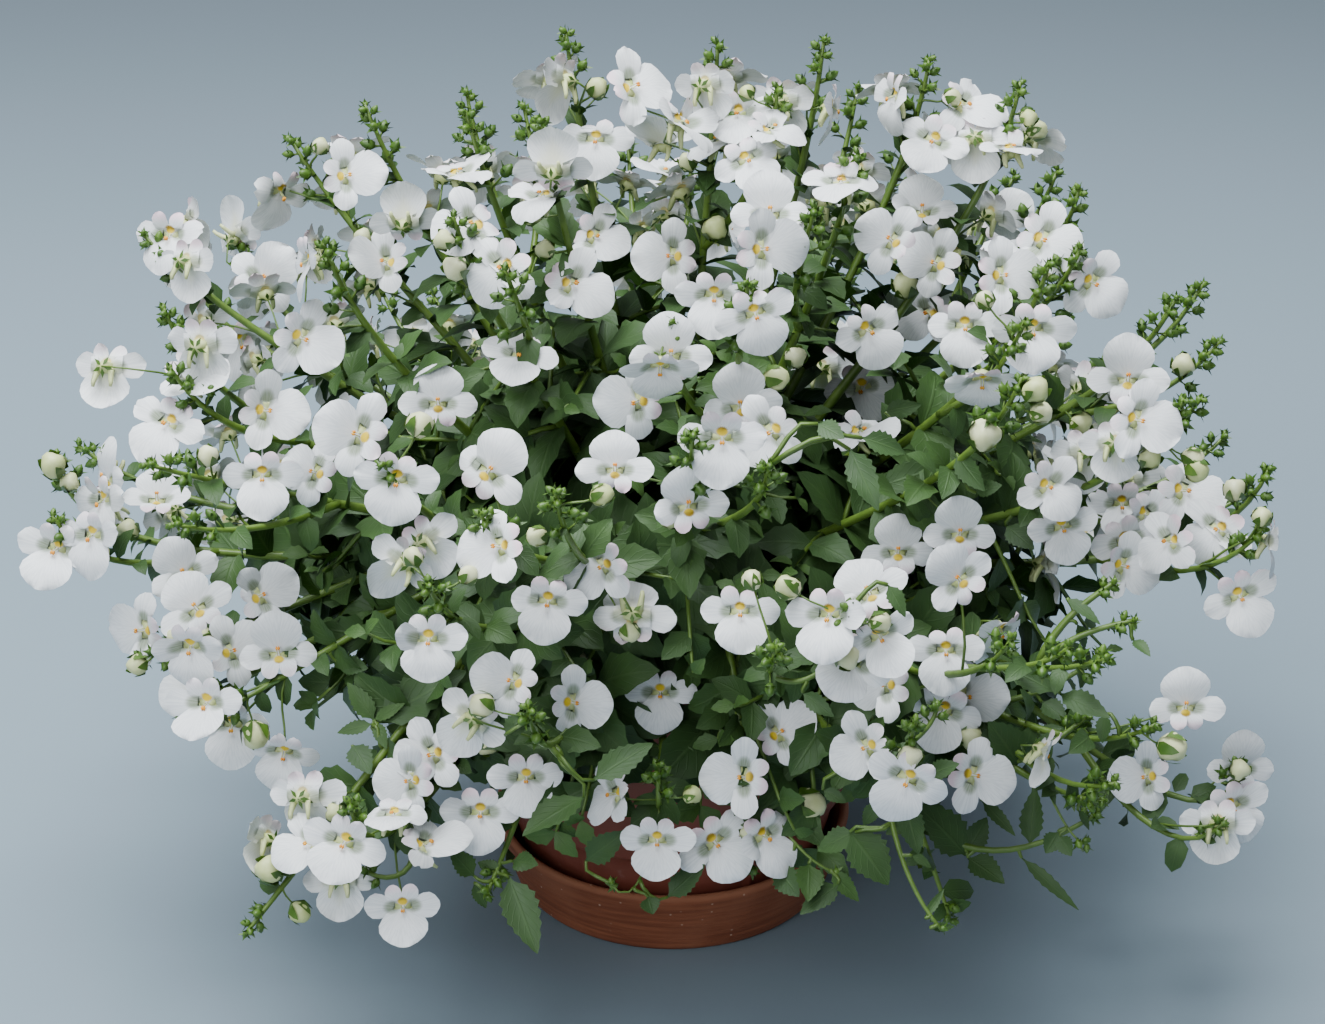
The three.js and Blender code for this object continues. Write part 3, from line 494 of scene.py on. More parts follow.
def main_spike(shoot):
    azimuth, climb, lean = (math.radians(SHOOTS[shoot][part]) for part in (0, 1, 3))
    reach = SHOOTS[shoot][2]
    out = np.array([math.cos(azimuth), math.sin(azimuth), 0])
    high = (DOME_UP if climb > 0 else DOME_DOWN) * math.sin(climb) * reach
    wide = math.cos(climb) * reach
    tip = np.array([out[0] * DOME_WIDE * wide, out[1] * DOME_DEEP * wide, HEART_HEIGHT + high])
    heading = out * math.sin(lean) + UP * math.cos(lean)
    foot = out * FOOT_SPREAD * math.sqrt((1 - math.sin(climb)) / 1.5) + UP * SOIL_TOP
    rise = FOOT_RISE if climb > 0 else LOW_FOOT_RISE
    return Spike(shoot, MAIN_STEPS, foot, foot + UP * rise, tip - heading * TIP_STRAIGHT, tip)


def second_spike(first, side):
    """The spike that branches off a main one below its flowers, and ends beside and a little under it."""
    place, heading = first.along(TWIN_BRANCH)
    tip, tip_heading = first.along(0)
    across = unit(np.array([-tip[1], tip[0], 0])) * -side * TWIN_APART
    end = tip + across - UP * TWIN_LOWER
    leave = place + heading * 12 + across * 0.5
    return Spike(first.shoot, TWIN_STEPS, place, leave, end - tip_heading * 25, end)


spikes = []
for shoot, row in enumerate(SHOOTS):
    spikes.append(main_spike(shoot))
    if row[4]:
        spikes.append(second_spike(spikes[-1], row[4]))


def clear_of_pot(places):
    """Whether all these places keep off the pot, the soil and the table."""
    out = np.hypot(places[:, 0], places[:, 1])
    height = places[:, 2]
    above = height > OVER_POT
    beside = (out > BESIDE_POT) & (height > OVER_TABLE)
    inside = (out < POT_INSIDE) & (height > OVER_SOIL)
    return bool(np.all(above | beside | inside))


class Growth:
    """The mesh of one piece as it grows. Every corner keeps its place on the pattern and its tint."""

    def __init__(self):
        self.places, self.patterns, self.tints = [], [], []
        self.faces, self.finishes = [], []
        self.count = 0

    def add(self, places, faces, finish, tint=0.5, pattern=None):
        self.places.append(places)
        self.patterns.append(np.zeros((len(places), 2)) if pattern is None else pattern)
        self.tints.append(np.full(len(places), float(tint)))
        self.faces += [[corner + self.count for corner in face] for face in faces]
        self.finishes += [finish] * len(faces)
        self.count += len(places)

    def piece(self, name, materials):
        mesh = bpy.data.meshes.new(name)
        mesh.from_pydata(np.concatenate(self.places) * MM, [], self.faces)
        for material in materials:
            mesh.materials.append(material)
        mesh.polygons.foreach_set("material_index", self.finishes)
        mesh.polygons.foreach_set("use_smooth", [True] * len(self.faces))
        corners = np.empty(len(mesh.loops), dtype=np.int32)
        mesh.loops.foreach_get("vertex_index", corners)
        pattern = mesh.uv_layers.new(name="pattern")
        pattern.data.foreach_set("uv", np.concatenate(self.patterns)[corners].ravel())
        mesh.attributes.new("tint", "FLOAT", "POINT").data.foreach_set("value", np.concatenate(self.tints))
        mesh.update()
        made = bpy.data.objects.new(name, mesh)
        bpy.context.scene.collection.objects.link(made)
        return made


def tube(growth, centres, radii, sides, finish, tint=0.5):
    """A stem or stalk round a line of centres, closed at both ends."""
    turns = np.arange(sides) * 2 * math.pi / sides
    places, before = [], None
    for ring, centre in enumerate(centres):
        ahead = unit(centres[min(ring + 1, len(centres) - 1)] - centres[max(ring - 1, 0)])
        side = square_to(before if before is not None else sideways(ahead, 0), ahead)
        before = side
        other = np.cross(ahead, side)
        places.append(centre + radii[ring] * (np.outer(np.cos(turns), side) + np.outer(np.sin(turns), other)))
    faces = []
    for ring in range(len(centres) - 1):
        for turn in range(sides):
            a, b = ring * sides + turn, ring * sides + (turn + 1) % sides
            faces.append([a, b, b + sides, a + sides])
    last = (len(centres) - 1) * sides
    faces.append(list(range(sides - 1, -1, -1)))
    faces.append(list(range(last, last + sides)))
    growth.add(np.concatenate(places), faces, finish, tint)


def flat_sheet(columns, rows):
    """A flat sheet cut into cells, as places from -1 to 1 across and 0 to 1 along, and its faces."""
    bpy.ops.mesh.primitive_grid_add(x_subdivisions=columns, y_subdivisions=rows, size=2)
    grid = bpy.context.object
    places = np.array([tuple(vertex.co) for vertex in grid.data.vertices])
    faces = [tuple(face.vertices) for face in grid.data.polygons]
    bpy.data.objects.remove(grid)
    return places[:, 0], (places[:, 1] + 1) / 2, faces


def round_body(segments, rings):
    """A ball of a number of segments and rings, as places and faces."""
    bpy.ops.mesh.primitive_uv_sphere_add(segments=segments, ring_count=rings, radius=1)
    ball = bpy.context.object
    places = np.array([tuple(vertex.co) for vertex in ball.data.vertices])
    faces = [tuple(face.vertices) for face in ball.data.polygons]
    bpy.data.objects.remove(ball)
    return places, faces


# The leaves stand in pairs, each pair square to the next. A leaf is egg-shaped and toothed, folded a little
# along its midrib, dark and slightly glossy above and paler below. Small round ones sit under the flowers.
LEAF, STEM, BUD = 0, 1, 2
# Half the width of a leaf along its length, as a share of the widest.
LEAF_EDGE = (
    (0, 0.10), (0.07, 0.16), (0.16, 0.66), (0.3, 0.96), (0.45, 1.0), (0.6, 0.86), (0.75, 0.62), (0.9, 0.3),
    (1, 0.02),
)
LEAF_TOOTH = 0.09
LEAF_BROAD = 0.31
big_leaf = flat_sheet(4, 8)
small_leaf = flat_sheet(2, 4)
fine_leaf = flat_sheet(4, 16)


def leaf(growth, base, way, above, length, tint, chance, sheet=big_leaf, droop=None, broad=LEAF_BROAD):
    """One leaf that springs from a base along a way, its upper face turned to what is above."""
    across_share, share, faces = sheet
    rows = len(np.unique(share)) - 1
    above = square_to(above, way)
    roll = chance.gauss(0, 0.25)
    across = np.cross(above, way) * math.cos(roll) + above * math.sin(roll)
    above = np.cross(way, across)
    droop = chance.uniform(0.5, 1.1) if droop is None else droop
    lift = chance.uniform(0.0, 0.35)
    bend = droop * share**1.4 - lift
    run = (np.sin(droop * share - lift) + math.sin(lift)) / droop
    drop = (np.cos(droop * share - lift) - math.cos(lift)) / droop
    knots, widths = zip(*LEAF_EDGE)
    half = np.interp(share, knots, widths) * broad * length
    tooth = np.where(np.round(share * rows) % 2 == 0, 1 - LEAF_TOOTH, 1 + LEAF_TOOTH)
    half = half * np.where(abs(across_share) > 0.99, tooth, 1)
    fold = chance.uniform(0.12, 0.34)
    wave = chance.uniform(-0.12, 0.12) * np.sin(share * chance.uniform(6, 9)) * across_share
    raised = abs(across_share) * half * fold + wave * half
    normal = np.outer(np.cos(bend), above) + np.outer(np.sin(bend), way)
    places = base + length * (np.outer(run, way) + np.outer(drop, above))
    places = places + np.outer(across_share * half, across) + normal * raised[:, None]
    growth.add(places, faces, LEAF, tint, np.column_stack([across_share / 2 + 0.5, share]))


# Everything green is darker and bluer where it is old and yellower where it is young, and clouded all over.
# On the leaves the dark old tone is also painted shade, for the old leaves sit low and deep inside the plant.
ageing, given, result = new_group(
    "ageing",
    (
        ("Vector", "Vector"), ("Scale", "Float"), ("Youth", "Float"),
        ("Old Dark", "Color"), ("Old Light", "Color"), ("Young Dark", "Color"), ("Young Light", "Color"),
    ),
    (("Color", "Color"), ("Cloud", "Float")),
)
puffs = wire(ageing, "ShaderNodeTexNoise", ("Vector", given["Vector"]), ("Scale", given["Scale"]))
puffs.inputs["Detail"].default_value = 3.5
spread = wire(ageing, "ShaderNodeMapRange", ("Value", puffs.outputs["Fac"]), interpolation_type="SMOOTHSTEP")
spread.inputs["From Min"].default_value = 0.3
spread.inputs["From Max"].default_value = 0.7
ages = [
    blend_in_group(ageing, spread.outputs["Result"], given[age + " Dark"], given[age + " Light"])
    for age in ("Old", "Young")
]
ageing.links.new(blend_in_group(ageing, given["Youth"], *ages), result["Color"])
ageing.links.new(puffs.outputs["Fac"], result["Cloud"])


def aged_green(node, join, scale, tones):
    """The colour of a part by its tint, from two tones of its old skin and two of its young skin."""
    made = node("ShaderNodeGroup", node_tree=ageing, Scale=scale)
    for socket, tone in zip(("Old Dark", "Old Light", "Young Dark", "Young Light"), tones):
        made.inputs[socket].default_value = (*tone, 1)
    join(node("ShaderNodeTexCoord").outputs["Object"], made.inputs["Vector"])
    join(node("ShaderNodeAttribute", attribute_name="tint").outputs["Fac"], made.inputs["Youth"])
    return made.outputs["Color"], made.outputs["Cloud"]


green, green_shader, node, join = new_material("leaf_green")
green_shader.inputs["Roughness"].default_value = 0.5
green_shader.inputs["Specular IOR Level"].default_value = 0.28
pattern = node("ShaderNodeUVMap", uv_map="pattern")
split = node("ShaderNodeSeparateXYZ")
join(pattern.outputs["UV"], split.inputs["Vector"])

from_rib = sum_up(node, join, "ABSOLUTE", sum_up(node, join, "SUBTRACT", split.outputs["X"], 0.5))
midrib = stretch(node, join, from_rib, 0.015, 0.05, 1, 0)
slant = sum_up(node, join, "SUBTRACT", split.outputs["Y"], sum_up(node, join, "MULTIPLY", from_rib, 0.7))
side_vein = sum_up(node, join, "PINGPONG", slant, 0.075)
veins = stretch(node, join, side_vein, 0.0, 0.016, 0.6, 0)
vein_mask = sum_up(node, join, "MAXIMUM", midrib, veins)
# The old tones are the leaves' own dark green and also painted shade for the low, inner foliage.
leaf_age_and_shade_tones = ((0.0048, 0.021, 0.0018), (0.012, 0.045, 0.0040), (0.062, 0.150, 0.010), (0.098, 0.215, 0.018))
upper, mottle = aged_green(node, join, 160.0, leaf_age_and_shade_tones)
upper = blend(node, join, sum_up(node, join, "MULTIPLY", vein_mask, 0.35), upper, (0.075, 0.14, 0.035))
back = node("ShaderNodeNewGeometry").outputs["Backfacing"]
under = sum_up(node, join, "MULTIPLY", back, 0.55)
join(blend(node, join, under, upper, (0.055, 0.105, 0.038)), green_shader.inputs["Base Color"])
sunk_veins = sum_up(node, join, "SUBTRACT", mottle, sum_up(node, join, "MULTIPLY", vein_mask, 0.6))
give_relief(node, join, green_shader, sunk_veins, 0.35, 0.0006)

# The stems are square-shouldered and juicy, green below and yellow-green in the spike. The buds are green
# balls closed by five pointed sepals. Both are of the same green skin as the leaves, only smoother.
SEPALS = 5
BUD_RIDGE, BUD_POINT, BUD_LENGTH = 0.2, 0.6, 1.12


def aged_skin(name, roughness, scale, tones, strength, depth):
    """A material of one skin that is clouded by its age, with a fine relief of the same clouds."""
    skin, shader, node, join = new_material(name)
    shader.inputs["Roughness"].default_value = roughness
    colour, cloud = aged_green(node, join, scale, tones)
    join(colour, shader.inputs["Base Color"])
    give_relief(node, join, shader, cloud, strength, depth)
    return skin


stem_tones = ((0.026, 0.062, 0.009), (0.042, 0.085, 0.014), (0.11, 0.195, 0.022), (0.155, 0.255, 0.036))
bud_tones = ((0.022, 0.064, 0.006), (0.038, 0.10, 0.010), (0.072, 0.16, 0.013), (0.125, 0.225, 0.024))
stem_green = aged_skin("stem_green", 0.4, 300.0, stem_tones, 0.2, 0.0003)
bud_green = aged_skin("bud_green", 0.45, 420.0, bud_tones, 0.3, 0.0003)

bud_ball, bud_faces = round_body(10, 5)
bud_turn = np.arctan2(bud_ball[:, 1], bud_ball[:, 0])
bud_ball[:, :2] *= (1 + BUD_RIDGE * np.cos(SEPALS * bud_turn) * (1 - bud_ball[:, 2] ** 2))[:, None]
bud_ball[:, 2] += BUD_POINT * np.clip(bud_ball[:, 2], 0, 1) ** 4
bud_ball *= (1, 1, BUD_LENGTH)


def set_along(places, way, turn, centre):
    """Places turned so that their own Z runs along a way, then moved."""
    side = sideways(way, turn)
    return centre + places @ np.array([side, np.cross(way, side), way])


def stalk(growth, start, leave, end, arrive, thick, tint, steps=4):
    """A thin curved stalk that leaves one way and arrives another."""
    reach = np.linalg.norm(end - start) * 0.4
    centres = Arc(start, start + leave * reach, end - arrive * reach, end).rings(steps)
    radii = np.linspace(thick, thick * 0.75, steps + 1)
    tube(growth, centres, radii, 4, STEM, tint)


def sepals(growth, centre, way, length, open_turn, tint, chance):
    """The narrow green sepals round the base of a flower or bud, opened by a turn from its axis."""
    for sepal in range(SEPALS):
        turn = sepal * 2 * math.pi / SEPALS + chance.uniform(-0.2, 0.2)
        side = sideways(way, turn)
        across = np.cross(way, side) * length * 0.2
        out = side * math.sin(open_turn) + way * math.cos(open_turn)
        up = way * math.sin(open_turn) - side * math.cos(open_turn)
        base = centre + side * 0.5
        middle = base + out * length * 0.45
        point = base + out * length + up * -0.2 * length
        growth.add(np.array([base, middle - across, point, middle + across]), [(0, 1, 2, 3)], BUD, tint)


# The flowers are white, two-lipped and about 22 mm across: one broad round lobe below, one at each side and
# two small pinkish ones above. A yellow window with orange anthers under it marks the throat; its top is
# painted darker as painted shade under the upper lobes. A greenish hollow lies at each side of it, its
# grey-green partly its own colour and partly painted shade, and behind each hollow a blunt spur points down.
# Places are from the anthers.
PETAL, CREAM, ANTHER = 0, 1, 2
PATTERN_SPAN = 24
# Rows across a lobe: how far along it, its half-width there, and its height towards the viewer.
BROAD_LOBE = (
    (0, 4.6, -0.9), (0.22, 6.6, 0.2), (0.42, 7.8, 1.3), (0.62, 7.7, 1.6), (0.8, 6.4, 1.2), (0.93, 4.3, 0.7),
    (1, 2.0, 0.4),
)
SIDE_LOBE = (
    (0, 3.0, -1.2), (0.22, 3.2, 0.0), (0.45, 3.9, 0.8), (0.7, 4.0, 0.9), (0.88, 3.0, 0.7), (1, 1.2, 0.4),
)
UPPER_LOBE = ((0, 2.3, -0.4), (0.35, 2.7, 0.8), (0.7, 2.5, 1.1), (0.9, 1.8, 0.9), (1, 0.8, 0.7))
# Each lobe: its base, its turn from straight up, its length, its cells across and its rows.
LOBES = [
    ((0, 0.6), 180, 12.7, 6, BROAD_LOBE),
    ((3.0, 1.3), -84, 9.2, 4, SIDE_LOBE), ((-3.0, 1.3), 84, 9.2, 4, SIDE_LOBE),
    ((2.3, 3.4), -10, 5.4, 3, UPPER_LOBE), ((-2.3, 3.4), 10, 5.4, 3, UPPER_LOBE),
]
lobe_sheets = [flat_sheet(cells, len(rows) - 1) for base, turn, length, cells, rows in LOBES]
throat_sheet = flat_sheet(6, 3)
funnel_ball = round_body(6, 4)
anther_ball = round_body(4, 3)
THROAT_HALF, THROAT_FOOT, THROAT_TALL = 5.2, -0.8, 5.6
HOLLOW_OUT, HOLLOW_UP, HOLLOW_DEEP = 3.2, 1.5, 2.6
SPUR_LINE = ((1.9, 1.0, -2.2), (2.5, -1.0, -3.6), (2.9, -3.2, -4.7), (2.9, -4.6, -5.0))
SPUR_RADII = (1.25, 0.95, 0.75, 0.5)
THREAD_RADII = (0.2, 0.17)
CALYX_DEPTH, CALYX_DROP = 5, 1.6


def set_facing(places, centre, facing, down, size):
    """Flower places, x right, y up and z out, turned to face a way with the broad lobe pointing another."""
    return centre + places * size @ np.array([np.cross(-down, facing), -down, facing])


def flower(white, centre, facing, down, chance):
    """One open flower with its anthers at a centre. Returns the place of its calyx."""
    size = chance.uniform(0.84, 0.99)
    cup = chance.uniform(-0.06, 0.16)
    tired = chance.uniform(0, 1) ** 2

    def stand(places):
        return set_facing(places, centre, facing, down, size)

    for number, ((base_x, base_y), turn, length, cells, rows) in enumerate(LOBES):
        across, share, faces = lobe_sheets[number]
        row = np.round(share * (len(rows) - 1)).astype(int)
        run, half, high = np.array(rows)[row].T
        along = run * length * chance.uniform(0.95, 1.05)
        swing = math.radians(turn + chance.gauss(0, 3))
        x = across * half
        ruffle = chance.uniform(0.2, 0.7) * np.sin(across * chance.uniform(2.5, 4.5) + chance.uniform(0, 6))
        ruffle = ruffle * (along / length) ** 2
        twist = chance.gauss(0, 0.16)
        z = high - 0.5 * across**2 * half / 8 + ruffle + x * twist * (along / length)
        out = chance.gauss(0.04, 0.24) - (0.25 * tired if number else 0.12 * tired)
        z = z + along * math.sin(out) + cup * along**1.5 * 0.3
        along = along * math.cos(out) - across**2 * half * 0.16 * (along / length) ** 2
        right = base_x + x * math.cos(swing) - along * math.sin(swing)
        high_up = base_y + x * math.sin(swing) + along * math.cos(swing)
        places = np.column_stack([right, high_up, z])
        white.add(stand(places), faces, PETAL, 0.5, places[:, :2] / PATTERN_SPAN + 0.5)
    across, share, faces = throat_sheet
    x, y = across * THROAT_HALF, THROAT_FOOT + share * THROAT_TALL
    z = -0.7 - HOLLOW_DEEP * np.exp(-((abs(x) - HOLLOW_OUT) ** 2 / 3.2 + (y - HOLLOW_UP) ** 2 / 2.6))
    throat = np.column_stack([x, y, z])
    white.add(stand(throat), faces, PETAL, 0.5, throat[:, :2] / PATTERN_SPAN + 0.5)
    ball, faces = funnel_ball
    narrow = 0.32 + 0.68 * (ball[:, 2] + 1) / 2
    x, y, z = ball[:, 0] * 4.4 * narrow, 1.5 + ball[:, 1] * 3.2 * narrow, -3.1 + ball[:, 2] * 2.1
    white.add(stand(np.column_stack([x, y, z])), faces, CREAM, 0.75)
    for side in (-1, 1):
        tube(white, stand(np.array(SPUR_LINE) * (side, 1, 1)), SPUR_RADII, 4, CREAM, 0.6)
        thread = np.array([(side * 0.45, 1.9, -1.3), (side * 0.35, 0.5, 0.9)])
        tube(white, stand(thread), THREAD_RADII, 3, CREAM, 0.6)
        ball, faces = anther_ball
        white.add(stand(ball * (0.52, 0.85, 0.45) + (side * 0.32, 0.0, 1.2)), faces, ANTHER)
    return centre - facing * CALYX_DEPTH * size + (-down) * CALYX_DROP * size


petal, petal_shader, node, join = new_material("white_petal")
petal_shader.inputs["Roughness"].default_value = 0.55
petal_shader.inputs["Specular IOR Level"].default_value = 0.3
pattern = node("ShaderNodeUVMap", uv_map="pattern")
split = node("ShaderNodeSeparateXYZ")
join(pattern.outputs["UV"], split.inputs["Vector"])
right = sum_up(node, join, "MULTIPLY", sum_up(node, join, "SUBTRACT", split.outputs["X"], 0.5), PATTERN_SPAN)
aside = sum_up(node, join, "ABSOLUTE", right)
above = sum_up(node, join, "MULTIPLY", sum_up(node, join, "SUBTRACT", split.outputs["Y"], 0.5), PATTERN_SPAN)
turn = sum_up(node, join, "ARCTAN2", right, sum_up(node, join, "SUBTRACT", above, 1.2))
fan = node("ShaderNodeCombineXYZ")
join(sum_up(node, join, "MULTIPLY", turn, 9.0), fan.inputs["X"])
join(sum_up(node, join, "MULTIPLY", above, 0.12), fan.inputs["Y"])
veining = noise_of(node, join, fan.outputs["Vector"], Scale=2.2, Detail=3.0)
place = node("ShaderNodeTexCoord").outputs["Object"]
blush_cloud = noise_of(node, join, place, Scale=22.0, Detail=2.0)
# Real veins and painted shade: grey radial streaks, which also darken the petals along their folds.
veins_and_fold_shade = stretch(node, join, veining, 0.40, 0.64, 0, 0.75)
white_colour = blend(node, join, veins_and_fold_shade, (0.84, 0.845, 0.86), (0.70, 0.715, 0.74))
blush = sum_up(
    node, join, "MULTIPLY",
    stretch(node, join, above, 4.5, 7.5, 0, 0.9), stretch(node, join, blush_cloud, 0.35, 0.65, 0.3, 1),
)
white_colour = blend(node, join, blush, white_colour, (0.78, 0.57, 0.65))


def oval_round(node, join, right, above, middle, half):
    """How far a place is from the middle of an oval, squared, with 1 at the oval's edge."""
    squares = []
    for value, centre, reach in zip((right, above), middle, half):
        share = sum_up(node, join, "DIVIDE", sum_up(node, join, "SUBTRACT", value, centre), reach)
        squares.append(sum_up(node, join, "MULTIPLY", share, share))
    return sum_up(node, join, "ADD", *squares)


# The hollows have their own grey-green colour, painted darker also as shade inside the hollows.
hollow = oval_round(node, join, aside, above, (3.5, 1.5), (2.9, 2.3))
deep = sum_up(
    node, join, "MULTIPLY",
    stretch(node, join, hollow, 0.15, 1.3, 0.85, 0), stretch(node, join, veining, 0.3, 0.6, 0.8, 1.1),
)
white_colour = blend(node, join, deep, white_colour, (0.235, 0.285, 0.185))
oval = oval_round(node, join, aside, above, (0, 3.1), (1.75, 1.35))
ragged = sum_up(node, join, "ADD", oval, stretch(node, join, veining, 0.3, 0.7, -0.3, 0.3))
window = stretch(node, join, ragged, 0.5, 1.15, 1, 0)
# Painted shade: the top of the yellow window turns dark olive, as the shade under the upper lobes.
window_height = sum_up(node, join, "ADD", above, stretch(node, join, blush_cloud, 0.3, 0.7, -0.7, 0.7))
window_top_shade = stretch(node, join, window_height, 2.9, 4.2)
yellow = blend(node, join, window_top_shade, (0.82, 0.57, 0.025), (0.36, 0.23, 0.012))
white_colour = blend(node, join, window, white_colour, yellow)
back = node("ShaderNodeNewGeometry").outputs["Backfacing"]
from_heart = sum_up(node, join, "ADD", aside, sum_up(node, join, "ABSOLUTE", above))
behind = sum_up(node, join, "MULTIPLY", back, stretch(node, join, from_heart, 2, 9, 0.6, 0))
join(blend(node, join, behind, white_colour, (0.78, 0.76, 0.55)), petal_shader.inputs["Base Color"])
give_relief(node, join, petal_shader, veining, 0.12, 0.0005)

cream_tones = ((0.70, 0.70, 0.40), (0.79, 0.79, 0.53), (0.42, 0.50, 0.14), (0.56, 0.61, 0.24))
cream = aged_skin("cream_petal", 0.5, 260.0, cream_tones, 0.25, 0.0004)

anther, anther_shader, node, join = new_material("orange_anther")
anther_shader.inputs["Roughness"].default_value = 0.6
place = node("ShaderNodeTexCoord").outputs["Object"]
pollen_tones = (0.75, 0.22, 0.01), (0.86, 0.42, 0.03)
pollen, grains = cloud_of(node, join, place, 1500.0, 2.0, 0.35, 0.65, *pollen_tones)
join(pollen, anther_shader.inputs["Base Color"])
give_relief(node, join, anther_shader, grains, 0.4, 0.0002)

# A closed bud that is about to open: rolled cream lobes that swell out of the five sepals.
CREAM_RIDGE = 0.14
# A sepal laid against the bud: the turn from the stalk and the half-width of its neck, and the same of the
# rows after it, with the turn as a share of the whole.
LAID_NECK, LAID_ROWS = (0.15, 0.12), ((0.55, 0.48), (0.85, 0.28), (1, 0.02))
cream_ball, cream_faces = round_body(12, 6)
cream_twist = 3 * np.arctan2(cream_ball[:, 1], cream_ball[:, 0]) + 2 * cream_ball[:, 2]
cream_ball[:, :2] *= (1 + CREAM_RIDGE * np.cos(cream_twist))[:, None]


def cream_bud(white, growth, centre, way, radius, chance):
    """A bud about to open, with its sepals laid against it."""
    stretch_out = chance.uniform(0.95, 1.2)
    places = cream_ball * (radius, radius, radius * stretch_out)
    places = set_along(places, way, chance.uniform(0, 6), centre)
    white.add(places, cream_faces, CREAM, chance.uniform(0.1, 0.8))
    for sepal in range(SEPALS):
        side = sideways(way, sepal * 2 * math.pi / SEPALS + chance.uniform(-0.15, 0.15))
        across = np.cross(way, side)
        reach = chance.uniform(1.9, 2.4)
        rows = []
        for turn, broad in (LAID_NECK, *((share * reach, half) for share, half in LAID_ROWS)):
            out = side * math.sin(turn) - way * math.cos(turn) * stretch_out
            lift = 1.1 if turn < reach else 1.22
            rows += [centre + (out * lift + across * broad * sign) * radius for sign in (-1, 1)]
        growth.add(np.array(rows), [(0, 2, 3, 1), (2, 4, 5, 3), (4, 6, 7, 5)], BUD, chance.uniform(0.35, 0.7))


